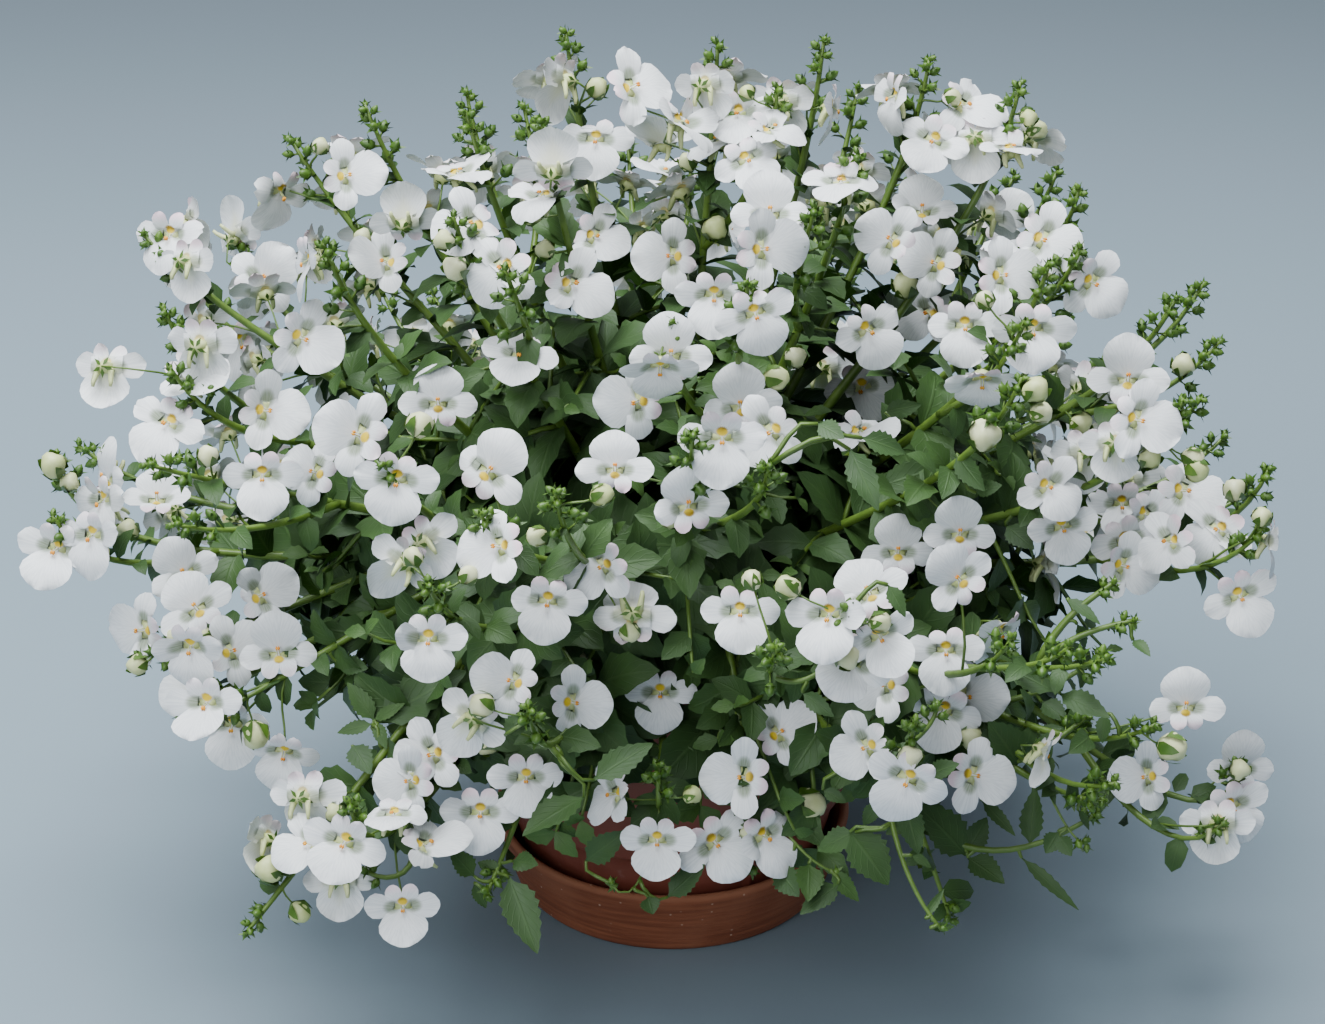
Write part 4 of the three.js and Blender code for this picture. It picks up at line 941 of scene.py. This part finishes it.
# Where the flowers and the larger buds are, seen from the camera: place in the view from its left and top
# edge, which way the flower faces (right and up from straight at the camera), and which way its broad lobe
# points (0 down, 90 left). Each hangs on the nearest spike that has room for it.
FLOWERS = [
    (168, 239, -25, 5, 0), (192, 224, 110, 10, -60), (188, 266, 150, 0, 0), (236, 232, 130, 30, 150),
    (264, 277, 5, 10, -135), (305, 265, -75, 0, 0), (306, 340, 10, 0, -60), (108, 372, 165, 0, 0),
    (195, 374, 0, 30, -50), (203, 348, 160, 20, 0), (242, 345, 10, -40, -20), (270, 411, 5, 5, -80),
    (164, 425, -5, 30, 30), (354, 433, 0, 0, 110), (281, 198, 60, -20, 0), (350, 175, 5, 5, -95),
    (404, 218, 170, 30, 180), (460, 172, 0, 60, -20), (382, 262, 0, 25, 80), (499, 269, 0, 20, 45),
    (560, 84, -120, 10, 20), (637, 86, 20, 20, -100), (595, 143, 0, 10, 5), (553, 165, 170, 40, 180),
    (540, 195, -30, 60, 0), (598, 237, 0, 20, -60), (668, 256, 0, 0, 90), (576, 285, 10, 30, -60),
    (470, 225, 20, 30, 60), (708, 88, 150, 20, 0), (737, 115, -10, 30, 0), (783, 105, 160, 10, 0),
    (775, 128, 10, 60, -60), (717, 140, -40, 50, 0), (749, 162, 0, 15, -30), (835, 112, 85, 0, 20),
    (660, 140, -30, 62, 0), (684, 124, 60, 30, 20), (666, 172, -20, 66, 30), (890, 100, -70, 10, 40),
    (968, 106, 30, 30, -60), (931, 143, 0, 15, 30), (975, 145, 175, -10, 0), (767, 249, 0, 0, -90),
    (770, 209, 0, 20, 180), (840, 182, -10, 50, 0), (888, 238, 0, 5, 120), (932, 262, 0, 0, 110),
    (922, 207, 0, 30, 180), (1013, 148, 20, 60, 0), (1002, 217, 0, 0, -125), (1046, 241, -20, 10, -60),
    (1006, 275, 0, 0, -90), (1096, 285, 10, 0, -50), (54, 553, -15, 5, 15), (157, 495, 0, 40, 180),
    (100, 505, -50, 0, 0), (105, 475, -60, 0, 180), (90, 540, -30, 0, 0), (262, 480, 5, -5, 0),
    (311, 471, 0, 0, 110), (194, 605, 0, 10, 145), (183, 570, -10, 0, 150), (264, 594, 5, 0, -120),
    (138, 630, -30, -10, 90), (235, 650, 0, 0, -110), (278, 649, 0, 10, 175), (190, 652, -20, -20, 0),
    (192, 690, 0, 0, 60), (438, 399, 0, 0, 180), (491, 468, 0, 0, -140), (396, 485, 0, -5, 5),
    (519, 357, 0, 35, 10), (615, 465, 0, 5, 180), (633, 402, 5, -15, 90), (671, 351, 0, 0, 180),
    (660, 372, 0, -50, 0), (714, 300, 0, -15, 0), (757, 318, 0, -5, -20), (871, 334, 20, 10, -30),
    (822, 372, 175, 10, 0), (862, 392, -25, 0, -10), (740, 402, 0, 0, 170), (768, 434, 0, 10, 50),
    (722, 443, 0, 0, 0), (864, 431, 10, 55, -40), (965, 330, 0, 5, 0), (925, 315, 0, 30, 60),
    (982, 385, 0, -50, 0), (688, 502, 10, 0, 170), (1033, 334, 0, -15, 0), (1128, 375, 0, 5, 180),
    (1142, 421, 5, 0, -70), (1085, 457, -170, 0, 0), (1115, 448, 170, 0, 0), (1051, 489, 0, 20, -40),
    (1064, 531, 0, 0, -15), (1128, 545, 0, 0, -20), (1188, 492, 10, 20, -60), (1215, 531, 0, 25, 45),
    (1150, 517, 30, 20, -40), (1272, 545, 80, 0, 0), (1165, 543, -30, 30, 60), (1122, 508, 0, 0, 0),
    (283, 757, 0, -35, 10), (305, 800, 160, 10, 0), (342, 847, 0, 10, 20), (429, 756, 0, 15, 60),
    (406, 781, 0, 0, 85), (262, 842, -130, 10, 40), (306, 845, -20, 30, 60), (340, 885, 180, -10, 0),
    (403, 911, 0, 5, -5), (430, 844, 40, 50, -90), (480, 817, 0, 10, 0), (392, 815, -10, 50, 0),
    (470, 722, 180, 0, 40), (205, 708, -20, 0, 0), (232, 730, -10, -10, 0), (494, 547, -15, 15, 75),
    (400, 566, -150, 10, 40), (427, 545, 160, 10, -40), (428, 644, 0, 5, 0), (547, 606, 0, 5, 5),
    (599, 568, 5, 5, 60), (632, 612, 180, -20, 180), (509, 680, -5, 0, 110), (577, 703, 0, 0, -85),
    (660, 697, 0, 5, 0), (740, 616, 0, 10, 0), (898, 548, 0, 0, 178), (867, 589, -10, 20, 150),
    (957, 577, 0, 0, 135), (960, 530, 0, 0, 180), (946, 655, 0, 5, 0), (882, 640, 0, -10, -30),
    (828, 620, -20, 0, 0), (882, 685, 0, 0, 90), (850, 665, 0, 0, 30), (782, 731, 0, 10, -120),
    (863, 749, -5, 10, 60), (942, 715, 0, 0, 20), (969, 697, 10, 0, -90), (1048, 567, 95, 0, 0),
    (1127, 567, 5, 0, -70), (1000, 635, 60, -40, 0), (1242, 600, 0, 5, -25), (1186, 703, 0, 5, 180),
    (1143, 777, -5, 0, 85), (1234, 811, 0, 0, -25), (1240, 765, 20, 0, 180), (1218, 828, 170, 0, 0),
    (1045, 755, 100, -20, 0), (978, 776, 0, 5, -75), (526, 782, 0, 8, 0), (610, 796, -50, 20, 70),
    (657, 845, 0, 5, 0), (739, 777, 0, 0, 90), (718, 846, 0, 5, -40), (768, 840, 30, 10, -30),
    (905, 784, 0, -10, 30),
]
CREAM_BUDS = [
    (366, 183, 3.2), (320, 146, 2.6), (363, 237, 2.6), (444, 240, 2.8), (455, 268, 3.4), (545, 250, 2.8),
    (530, 213, 3.2), (597, 88, 3), (747, 93, 2.4), (709, 83, 2.6), (706, 118, 2.8), (688, 162, 2.6),
    (952, 98, 2.8), (1037, 130, 3), (1029, 118, 2.6), (796, 357, 3), (776, 378, 3.4), (905, 285, 3.8),
    (935, 284, 2.8), (985, 300, 2.6), (1041, 413, 3), (1081, 423, 3.2), (1150, 458, 3.2), (1193, 458, 2.8),
    (1197, 470, 3.4), (1127, 365, 2.4), (1262, 517, 2.8), (1183, 365, 3.4), (1235, 490, 3.2), (208, 456, 3),
    (210, 690, 3.4), (206, 636, 2.4), (175, 637, 2.6), (137, 665, 3), (255, 735, 3.8), (128, 530, 3.2),
    (53, 465, 3.8), (70, 482, 2.8), (420, 425, 3.6), (670, 515, 3.4), (788, 587, 3.2), (752, 580, 2.6),
    (560, 668, 2.8), (583, 658, 3.6), (482, 705, 3.4), (487, 745, 3), (630, 632, 2.8), (537, 536, 2.6),
    (413, 557, 2.6), (468, 575, 2.6), (602, 495, 2.8), (880, 622, 2.8), (847, 657, 3.4), (910, 757, 3.2),
    (970, 738, 3.4), (1172, 748, 4), (1240, 770, 3), (692, 795, 2.6), (750, 832, 2.8), (808, 805, 4.4),
    (300, 912, 3), (335, 812, 2.8), (985, 435, 4.4), (1035, 390, 3.6), (270, 870, 4), (715, 228, 3.6),
]
eye = np.array(CAMERA_PLACE, float)
view_down = math.radians(CAMERA_DOWN)
ahead = np.array([0, math.cos(view_down), -math.sin(view_down)])
view_up = np.array([0, math.sin(view_down), math.cos(view_down)])
view_right = np.array([1.0, 0, 0])


def sight_line(from_left, from_top):
    slope_right = (from_left - PHOTO_WIDTH / 2) / PIXELS_PER_SLOPE
    slope_down = (from_top - PHOTO_HEIGHT / 2) / PIXELS_PER_SLOPE
    return unit(ahead + view_right * slope_right - view_up * slope_down)


def in_view(place):
    """Where the camera sees a place, from its left and top edge, and how deep in the view it lies."""
    seen = place - eye
    deep = seen @ ahead
    from_left = PHOTO_WIDTH / 2 + PIXELS_PER_SLOPE * (seen @ view_right) / deep
    from_top = PHOTO_HEIGHT / 2 - PIXELS_PER_SLOPE * (seen @ view_up) / deep
    return from_left, from_top, deep


SPARE_STEM = 4
LOW_COST = 0.3


def nearest_on_spikes(line, candidates, distances, depth_cost, load_cost):
    """The place on a spike that a sight line passes closest to, with a liking for the near side."""
    best = None
    for spike in candidates:
        for from_tip in distances:
            if from_tip > spike.length - SPARE_STEM:
                break
            place = spike.along(from_tip)[0]
            far = (place - eye) @ line
            off = np.linalg.norm(place - eye - line * far)
            below_twin = max(0, from_tip - TWIN_BRANCH)
            cost = off + depth_cost * far + load_cost * spike.flowers + LOW_COST * below_twin
            if best is None or cost < best[0]:
                best = (cost, spike, from_tip, far, off)
    return best[1:]


def on_line(line, far, off, reach):
    """A place on the sight line, in front of the spike by what is left of its stalk's reach."""
    return eye + line * (far - math.sqrt(max(0, reach**2 - off**2)))


STALK_REACH, BUD_STALK_REACH = 13, 8
FLOWER_ROOM, FLOWER_DEPTH = 17, 5
FLOWER_SHIFTS = (0, -4, 4, -8, 8, -12, 12, 16)
open_flowers = []
bearing = [spike for spike in spikes if SHOOTS[spike.shoot][3] != BARE_LEAN]


def crowded(centre, line):
    """Whether another flower stands at the same depth and too close beside this place."""
    for other in open_flowers:
        apart = other["centre"] - centre
        deep = abs(apart @ line)
        if deep < FLOWER_DEPTH and apart @ apart - deep**2 < FLOWER_ROOM**2:
            return True
    return False


def open_flower(centre, facing, down, spike, from_tip):
    """Keeps a flower for the shoot that bears it."""
    open_flowers.append(
        {"centre": centre, "facing": facing, "down": down, "spike": spike, "from_tip": from_tip}
    )


for from_left, from_top, faces_right, faces_up, lobe in FLOWERS:
    line = sight_line(from_left, from_top)
    spike, from_tip, far, off = nearest_on_spikes(line, bearing, range(18, 100, 4), 0.1, 2.5)
    start = on_line(line, far, off, STALK_REACH)
    shifted = (start + line * shift for shift in FLOWER_SHIFTS)
    centre = next((place for place in shifted if not crowded(place, line)), start)
    aside, up, lobe = (math.radians(angle) for angle in (faces_right, faces_up, lobe))
    level = -ahead * math.cos(up) * math.cos(aside) + view_right * math.cos(up) * math.sin(aside)
    facing = level + view_up * math.sin(up)
    down = square_to(-view_up * math.cos(lobe) - view_right * math.sin(lobe), facing)
    spike.flowers += 1
    open_flower(centre, facing, down, spike, from_tip)

seen_flowers = [in_view(bloom["centre"]) for bloom in open_flowers]

# The side that the camera doesn't see has its flowers at even turns round its spikes, and none that the
# camera would see: each is in the oval of the view that the plant fills, or behind a flower of the near side.
FAR_FIRST = (24, 32, 40, 49, 58)
FAR_SECOND = (24, 33, 42)
FAR_ATTEMPTS, FAR_ROOM, FAR_SIDE = 5, 15, 5
OVAL_MIDDLE, OVAL_HALF = (665, 520), (470, 370)
BEHIND_FLOWER = 26


def out_of_sight(place):
    """Whether a place is hidden by the plant or by one of the near flowers."""
    from_left, from_top = in_view(place)[:2]
    across = (from_left - OVAL_MIDDLE[0]) / OVAL_HALF[0]
    along = (from_top - OVAL_MIDDLE[1]) / OVAL_HALF[1]
    if math.hypot(across, along) < 1:
        return True
    return any(math.hypot(from_left - row[0], from_top - row[1]) < BEHIND_FLOWER for row in FLOWERS)


for spike in bearing:
    for step, from_tip in enumerate(FAR_FIRST if spike.steps == MAIN_STEPS else FAR_SECOND):
        place, heading = spike.along(from_tip)
        for attempt in range(FAR_ATTEMPTS):
            side = sideways(heading, (step + spike.shoot + attempt) * GOLDEN_TURN)
            facing = unit(side + UP * 0.1 + unit(place - UP * HEART_HEIGHT))
            centre = place + unit(side + heading * 0.55) * STALK_REACH + facing * CALYX_DEPTH
            if facing @ ahead < 0 or centre[1] < FAR_SIDE or not out_of_sight(centre):
                continue
            if any(np.linalg.norm(other["centre"] - centre) < FAR_ROOM for other in open_flowers):
                continue
            open_flower(centre, facing, square_to(-UP, facing), spike, from_tip)
            break

closed_buds = []
for from_left, from_top, radius in CREAM_BUDS:
    line = sight_line(from_left, from_top)
    spike, from_tip, far, off = nearest_on_spikes(line, spikes, range(4, 80, 3), 0.1, 0)
    centre = on_line(line, far, off, BUD_STALK_REACH)
    closed_buds.append({"centre": centre, "radius": radius, "spike": spike, "from_tip": from_tip})

# Single stems and leaves that can be told apart in the photo. A stem has the four places that lead its curve,
# its thickness, and how far its buds reach. A leaf has its base and tip, its width and its youth.
SEEN_STEMS = [
    (878, 800, 890, 850, 918, 905, 942, 930, 0.9, 2), (930, 850, 985, 870, 1040, 850, 1100, 812, 1.15, 8),
    (995, 700, 1040, 695, 1070, 680, 1103, 652, 1.1, 9),
    (1000, 772, 1030, 760, 1055, 742, 1088, 716, 1.1, 9), (590, 790, 570, 770, 555, 752, 538, 732, 1.1, 4),
    (655, 880, 648, 903, 622, 903, 611, 884, 0.5, 3), (1035, 633, 1060, 618, 1085, 602, 1115, 582, 1.2, 6),
    (1040, 640, 1070, 634, 1100, 628, 1135, 620, 1.1, 9), (790, 705, 798, 690, 810, 678, 832, 664, 1.0, 4),
    (1050, 842, 1066, 838, 1078, 840, 1088, 846, 0.5, 4), (925, 745, 928, 735, 934, 722, 938, 704, 0.9, 8),
    (460, 880, 430, 886, 380, 885, 362, 868, 1.0, 6), (782, 848, 800, 860, 815, 864, 836, 873, 0.6, 2),
]
SEEN_LEAVES = [
    (966, 855, 910, 805, 42, 0.12), (905, 803, 919, 854, 26, 0.05), (967, 852, 986, 818, 24, 0.06),
    (968, 858, 1004, 884, 26, 0.1), (1030, 845, 1037, 789, 23, 0.15), (1058, 832, 1046, 853, 20, 0.1),
    (1060, 836, 1072, 856, 18, 0.1), (1022, 858, 1078, 909, 13, 0.2), (1078, 810, 1087, 830, 10, 0.15),
    (982, 801, 1015, 835, 14, 0.15), (1042, 766, 1054, 806, 12, 0.08), (1018, 764, 984, 722, 40, 0.08),
    (1055, 692, 997, 666, 25, 0.1), (1060, 694, 1110, 720, 24, 0.12), (1106, 714, 1104, 742, 16, 0.15),
    (1042, 702, 1066, 719, 20, 0.05), (1038, 733, 1063, 727, 12, 0.15), (809, 864, 806, 904, 27, 0.42),
    (831, 871, 858, 901, 18, 0.48), (850, 832, 888, 884, 44, 0.1), (855, 832, 816, 850, 24, 0.2),
    (778, 868, 800, 897, 26, 0.05), (838, 884, 801, 917, 24, 0.02), (878, 802, 863, 826, 16, 0.1),
    (925, 917, 944, 889, 9, 0.25), (930, 928, 955, 926, 9, 0.3), (912, 856, 929, 869, 11, 0.15),
    (803, 693, 834, 717, 18, 0.08), (823, 790, 846, 802, 14, 0.08), (927, 776, 959, 764, 20, 0.06),
    (879, 487, 948, 466, 31, 0.15), (850, 450, 878, 510, 28, 0.05), (956, 454, 982, 490, 22, 0.12),
    (976, 493, 1000, 484, 16, 0.15), (818, 424, 845, 441, 20, 0.1), (885, 412, 920, 405, 18, 0.1),
    (862, 438, 905, 453, 24, 0.08), (1067, 598, 1098, 628, 14, 0.1), (1077, 624, 1086, 648, 12, 0.1),
    (1006, 526, 1035, 552, 22, 0.1), (888, 585, 906, 616, 18, 0.15), (378, 722, 466, 675, 45, 0.12),
    (374, 720, 348, 683, 21, 0.35), (374, 720, 403, 703, 12, 0.5), (376, 722, 387, 749, 14, 0.45),
    (372, 724, 338, 733, 14, 0.3), (509, 878, 538, 956, 36, 0.1), (594, 780, 652, 742, 30, 0.12),
    (584, 797, 526, 843, 36, 0.2), (586, 861, 628, 830, 26, 0.05), (352, 745, 371, 777, 24, 0.03),
    (513, 861, 539, 866, 18, 0.15), (474, 876, 449, 851, 24, 0.3), (474, 883, 486, 908, 14, 0.2),
    (648, 897, 653, 914, 20, 0.2), (668, 897, 702, 864, 24, 0.08), (342, 664, 369, 669, 18, 0.04),
    (500, 872, 478, 862, 16, 0.35), (1133, 640, 1150, 655, 10, 0.15), (505, 735, 530, 715, 20, 0.08),
]
SEEN_DROOP = 0.3
SIDE_STEPS = 6


def seen_place(from_left, from_top, far):
    """A place that the camera sees at a point of the photo, as far away as asked."""
    return eye + sight_line(from_left, from_top) * far


side_stems = []
for *points, thick, bud_length in SEEN_STEMS:
    seen = list(zip(points[0::2], points[1::2]))
    spike, from_tip, far, _ = nearest_on_spikes(sight_line(*seen[0]), spikes, range(30, 130, 5), 0.1, 0)
    joint = spike.along(from_tip)[0]
    for nearer in range(3, 60, 4):
        curve = [seen_place(*point, far - nearer) for point in seen[1:]]
        stem = Spike(spike.shoot, SIDE_STEPS, joint, *curve)
        if clear_of_pot(stem.rings(8)[2:]):
            break
            break
    stem.thick, stem.bud_length = thick, bud_length
    side_stems.append(stem)

seen_leaves = []
leafing = random.Random(77)
for base_left, base_top, tip_left, tip_top, wide, youth in SEEN_LEAVES:
    line = sight_line(base_left, base_top)
    spike, from_tip, far, _ = nearest_on_spikes(line, side_stems + spikes, range(2, 130, 3), 0.12, 0)
    lean = leafing.uniform(-4, 6)
    for nearer in range(0, 60, 4):
        base = seen_place(base_left, base_top, far - nearer)
        tip = seen_place(tip_left, tip_top, far - nearer - lean)
        if clear_of_pot(base + np.outer((0.1, 0.4, 0.7, 1.0), tip - base)):
            break
    length = np.linalg.norm(tip - base)
    broad = 0.5 * wide / math.hypot(tip_left - base_left, tip_top - base_top)
    seen_leaves.append((base, (tip - base) / length, length * 1.02, broad, youth, spike, from_tip))


HIDES_WITHIN, HIDES_NEARER = 30, 3


def has_room(places):
    """Whether a new leaf keeps off the pot and hides none of the flowers that the photo shows."""
    if not clear_of_pot(places):
        return False
    for place in places:
        from_left, from_top, deep = in_view(place)
        for seen_left, seen_top, seen_deep in seen_flowers:
            apart = math.hypot(seen_left - from_left, seen_top - from_top)
            if deep < seen_deep - HIDES_NEARER and apart < HIDES_WITHIN:
                return False
    return True


def sprig(growth, start, way, length, first_leaf, chance):
    """A short side shoot with pairs of leaves, which grow smaller towards its tip."""
    end = start + way * length - UP * length * 0.2
    run = Arc(start, start + way * length * 0.45, end - unit(way + UP * 0.2) * length * 0.3, end)
    centres = run.rings(5)
    if not has_room(centres[1:]):
        return
    tube(growth, centres, np.linspace(0.95, 0.5, 6), 4, STEM, 0.55)
    pairs = max(2, int(length // 13))
    for pair in range(pairs + 1):
        share = (pair + 0.7) / (pairs + 0.7)
        place = run.at(share)
        heading = unit(run.at(min(share + 0.02, 1.02)) - place)
        size = np.interp(share, (0.2, 1), (first_leaf, first_leaf * 0.38)) * chance.uniform(0.85, 1.15)
        above = heading * 0.3 + UP * 0.7 + unit(place - UP * HEART_HEIGHT) * 0.7
        for half in (0, math.pi):
            side = sideways(heading, half + pair * math.pi / 2 + chance.gauss(0, 0.2))
            leaf_way = unit(side + heading * chance.uniform(0.3, 0.9))
            if has_room(place + np.outer((0.5, 0.8, 1.0), leaf_way) * size):
                # Leaves near a sprig's base get the old dark tone, which is partly painted shade.
                tint = np.clip(0.08 + 0.5 * share**3 + chance.gauss(0, 0.06), 0, 1)
                leaf(growth, place, leaf_way, above, size, tint, chance)


GLOBE_STEP = 1.5
# By distance from the tip: the size of a bud and the reach of its stalk.
GLOBE_SIZES = (0, 4, 12, 30), (0.95, 1.25, 1.5, 1.85)
GLOBE_REACHES = (0, 5, 12, 30), (0.7, 2.6, 4.8, 8.0)


def bud_rows(growth, spike, last, first_turn, chance):
    """The green buds round the top of a stem, each on its own stalk above a small pointed leaf."""
    globes = 0
    from_tip = 0.5
    while from_tip < last:
        place, heading = spike.along(from_tip)
        side = sideways(heading, globes * GOLDEN_TURN + first_turn)
        size = np.interp(from_tip, *GLOBE_SIZES) * chance.uniform(0.88, 1.1)
        reach = np.interp(from_tip, *GLOBE_REACHES) * chance.uniform(0.75, 1.2)
        way = unit(side + heading * 0.7)
        centre = place + way * reach
        stalk(growth, place, way, centre - way * size * 0.6, way, 0.32, 0.8, 2)
        tint = np.interp(from_tip, (0, 25), (0.85, 0.35)) * chance.uniform(0.6, 1.0)
        growth.add(set_along(bud_ball * size, way, chance.uniform(0, 6), centre), bud_faces, BUD, tint)
        sepals(growth, centre - way * size * 0.4, way, size * 2.1, 0.75, tint * 0.6, chance)
        leaf_way = unit(side + heading * 0.4)
        length, youth = 2.6 + from_tip * 0.16, 0.45 - from_tip / 80
        leaf(growth, place, leaf_way, heading, length, youth, chance, small_leaf, 0.8)
        globes += 1
        from_tip += GLOBE_STEP * (1 + from_tip / 11)


# Each shoot is put together from its stems, its leaves, its green buds and what it bears. The white parts
# are a piece of their own, so that each shoot is one green piece and one white one. Its leaves grow in
# pairs down the stem, and the older ones have a leafy sprig between them.
LEAF_START, LEAF_STEP, BARE_LEAF_START = 44, 11.5, 8
# By distance from the tip: the length of a leaf and its youth, whose dark old end is also painted shade on
# the
# low leaves. By climb: how far down the green buds go.
LEAF_SIZES = (8, 30, 46, 70, 100, 150), (8, 12, 13, 19, 27, 33)
LEAF_YOUTH_AND_LIGHT = (20, 62, 110), (0.6, 0.3, 0.08)
BUD_REACHES, BARE_BUD_REACH = ((-20, 30, 45), (13, 18, 29)), 6
LEAF_ATTEMPTS = 6
SPRIGS_BELOW = 70
HANGING_CLIMB, HANGING_OUT, HANGING_OVER = 20, (38, 95), 8
SMALL_LEAF_STEP, SMALL_LEAF_END = 6.5, 66
MAIN_RINGS, TWIN_RINGS, SIDE_RINGS = 26, 12, 12


def leaf_pair(growth, place, heading, shoot, pair, from_tip, size, chance):
    """Two leaves across a stem from each other, each turned on until it has room."""
    for half in (0, math.pi):
        for attempt in range(LEAF_ATTEMPTS):
            turn = shoot + half + pair * math.pi / 2 + chance.gauss(0, 0.2) + attempt * 0.9
            side = sideways(heading, turn)
            way = unit(side + heading * chance.uniform(0.1, 0.7))
            above = heading * 0.5 + UP * 0.7 + unit(place - UP * HEART_HEIGHT) * 0.3
            if has_room(place + np.outer((0.5, 0.8, 1.0), way) * size):
                tint = np.clip(np.interp(from_tip, *LEAF_YOUTH_AND_LIGHT) + chance.gauss(0, 0.08), 0, 1)
                leaf(growth, place, way, above, size, tint, chance)
                break


def leafy_stem(growth, spike, bare, climb, chance):
    """The pairs of leaves down the main stem of a shoot, with sprigs between them where it is old."""
    shoot = spike.shoot
    start = BARE_LEAF_START if bare else LEAF_START
    for pair, from_tip in enumerate(np.arange(start, spike.length - 6, LEAF_STEP)):
        place, heading = spike.along(from_tip + chance.uniform(-3, 3))
        size = np.interp(from_tip, *LEAF_SIZES) * chance.uniform(0.85, 1.15)
        leaf_pair(growth, place, heading, shoot, pair, from_tip, size, chance)
        if from_tip > SPRIGS_BELOW:
            side = sideways(heading, shoot + pair * 2.1)
            sprig(growth, place, unit(side + heading * 0.5), chance.uniform(22, 38), 0.7 * size, chance)
        out = np.array([place[0], place[1], 0])
        low = climb <= HANGING_CLIMB and place[2] > POT_TOP + HANGING_OVER
        if low and HANGING_OUT[0] < np.linalg.norm(out) < HANGING_OUT[1]:
            hanging = unit(unit(out) * 0.75 - UP * 0.65 + sideways(UP, chance.uniform(0, 6)) * 0.35)
            sprig(growth, place, hanging, chance.uniform(28, 46), 1.05 * size, chance)


def grow_spike(growth, spike, bare, climb, chance):
    """The stem of a spike, with its leaves, its green buds and the small leaves under the flowers."""
    shoot = spike.shoot
    first = spike.steps == MAIN_STEPS
    rings = MAIN_RINGS if first else TWIN_RINGS
    from_tips = np.linspace(1, 0, rings + 1) * spike.length
    radii = np.where(from_tips < 30, 0.55 + 0.5 * from_tips / 30, 1.05 + 0.85 * (from_tips - 30) / 150)
    tube(growth, spike.rings(rings), radii, 6, STEM, 0.75 if first else 0.85)
    if first:
        leafy_stem(growth, spike, bare, climb, chance)
    last = BARE_BUD_REACH if bare else np.interp(climb, *BUD_REACHES)
    bud_rows(growth, spike, last, shoot, chance)
    for from_tip in np.arange(last + 3, min(spike.length - 8, SMALL_LEAF_END), SMALL_LEAF_STEP):
        place, heading = spike.along(from_tip)
        side = sideways(heading, from_tip * 0.7 + shoot)
        size = chance.uniform(7.5, 12)
        if has_room(place + np.outer((0.5, 1.0), side) * size):
            way = unit(side + heading * 0.2)
            leaf(growth, place, way, heading * 0.5 + UP, size, 0.2, chance, small_leaf, 1.0)


def hang_bud(white, growth, bud, chance):
    """A cream bud on its stalk."""
    place, heading = bud["spike"].along(bud["from_tip"] + 4)
    way = unit(bud["centre"] - place + UP * 2)
    cream_bud(white, growth, bud["centre"], way, bud["radius"], chance)
    stalk(growth, place, unit(way + heading), bud["centre"] - way * bud["radius"], way, 0.42, 0.6)


def hang_flower(white, growth, bloom, chance):
    """A flower on its stalk, with its sepals and the small leaf that the stalk grows from."""
    spike = bloom["spike"]
    calyx = flower(white, bloom["centre"], bloom["facing"], bloom["down"], chance)
    place = spike.along(bloom["from_tip"])[0]
    from_tip = min(bloom["from_tip"] + 0.5 * np.linalg.norm(calyx - place), spike.length - 2)
    place, heading = spike.along(from_tip)
    leave = unit(unit(calyx - place) + heading * 0.6)
    stalk(growth, place, leave, calyx, bloom["facing"], 0.45, 0.6)
    sepals(growth, calyx, bloom["facing"], 3.0, 1.1, 0.4, chance)
    way, size = unit(leave * 0.6 + unit(calyx - place)), chance.uniform(8, 12.5)
    if has_room(place + np.outer((0.6, 1.0), way) * size):
        leaf(growth, place, way, UP, size, 0.2, chance, small_leaf, 0.9)


for shoot, row in enumerate(SHOOTS):
    chance = random.Random(100 + shoot)
    green_parts, white_parts = Growth(), Growth()
    climb, bare = row[1], row[3] == BARE_LEAN
    for spike in spikes:
        if spike.shoot == shoot:
            grow_spike(green_parts, spike, bare, climb, chance)
    for stem in side_stems:
        if stem.shoot == shoot:
            radii = stem.thick * np.interp(np.linspace(0, 1, SIDE_RINGS + 1), (0, 0.15, 1), (0.45, 1, 0.6))
            tube(green_parts, stem.rings(SIDE_RINGS), radii, 6, STEM, 0.6)
            bud_rows(green_parts, stem, stem.bud_length, shoot, chance)
    for base, way, length, broad, tint, stem, from_tip in seen_leaves:
        if stem.shoot == shoot:
            place, heading = stem.along(from_tip)
            if np.linalg.norm(base - place) > 1.5:
                stalk(green_parts, place, unit(heading + unit(base - place)), base, way, 0.75, 0.5)
            above = UP * 0.6 - ahead
            leaf(green_parts, base, way, above, length, tint, chance, fine_leaf, SEEN_DROOP, broad)
    for bud in closed_buds:
        if bud["spike"].shoot == shoot:
            hang_bud(white_parts, green_parts, bud, chance)
    for bloom in open_flowers:
        if bloom["spike"].shoot == shoot:
            hang_flower(white_parts, green_parts, bloom, chance)
    node_name = f"shoot_{shoot + 1:02d}"
    stems = green_parts.piece(f"{node_name}_green", (green, stem_green, bud_green))
    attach(stems, "root")
    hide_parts(node_name)
    if white_parts.count:
        blooms = white_parts.piece(f"{node_name}_flowers", (petal, cream, anther))
        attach(blooms, "root")
        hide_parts(node_name)
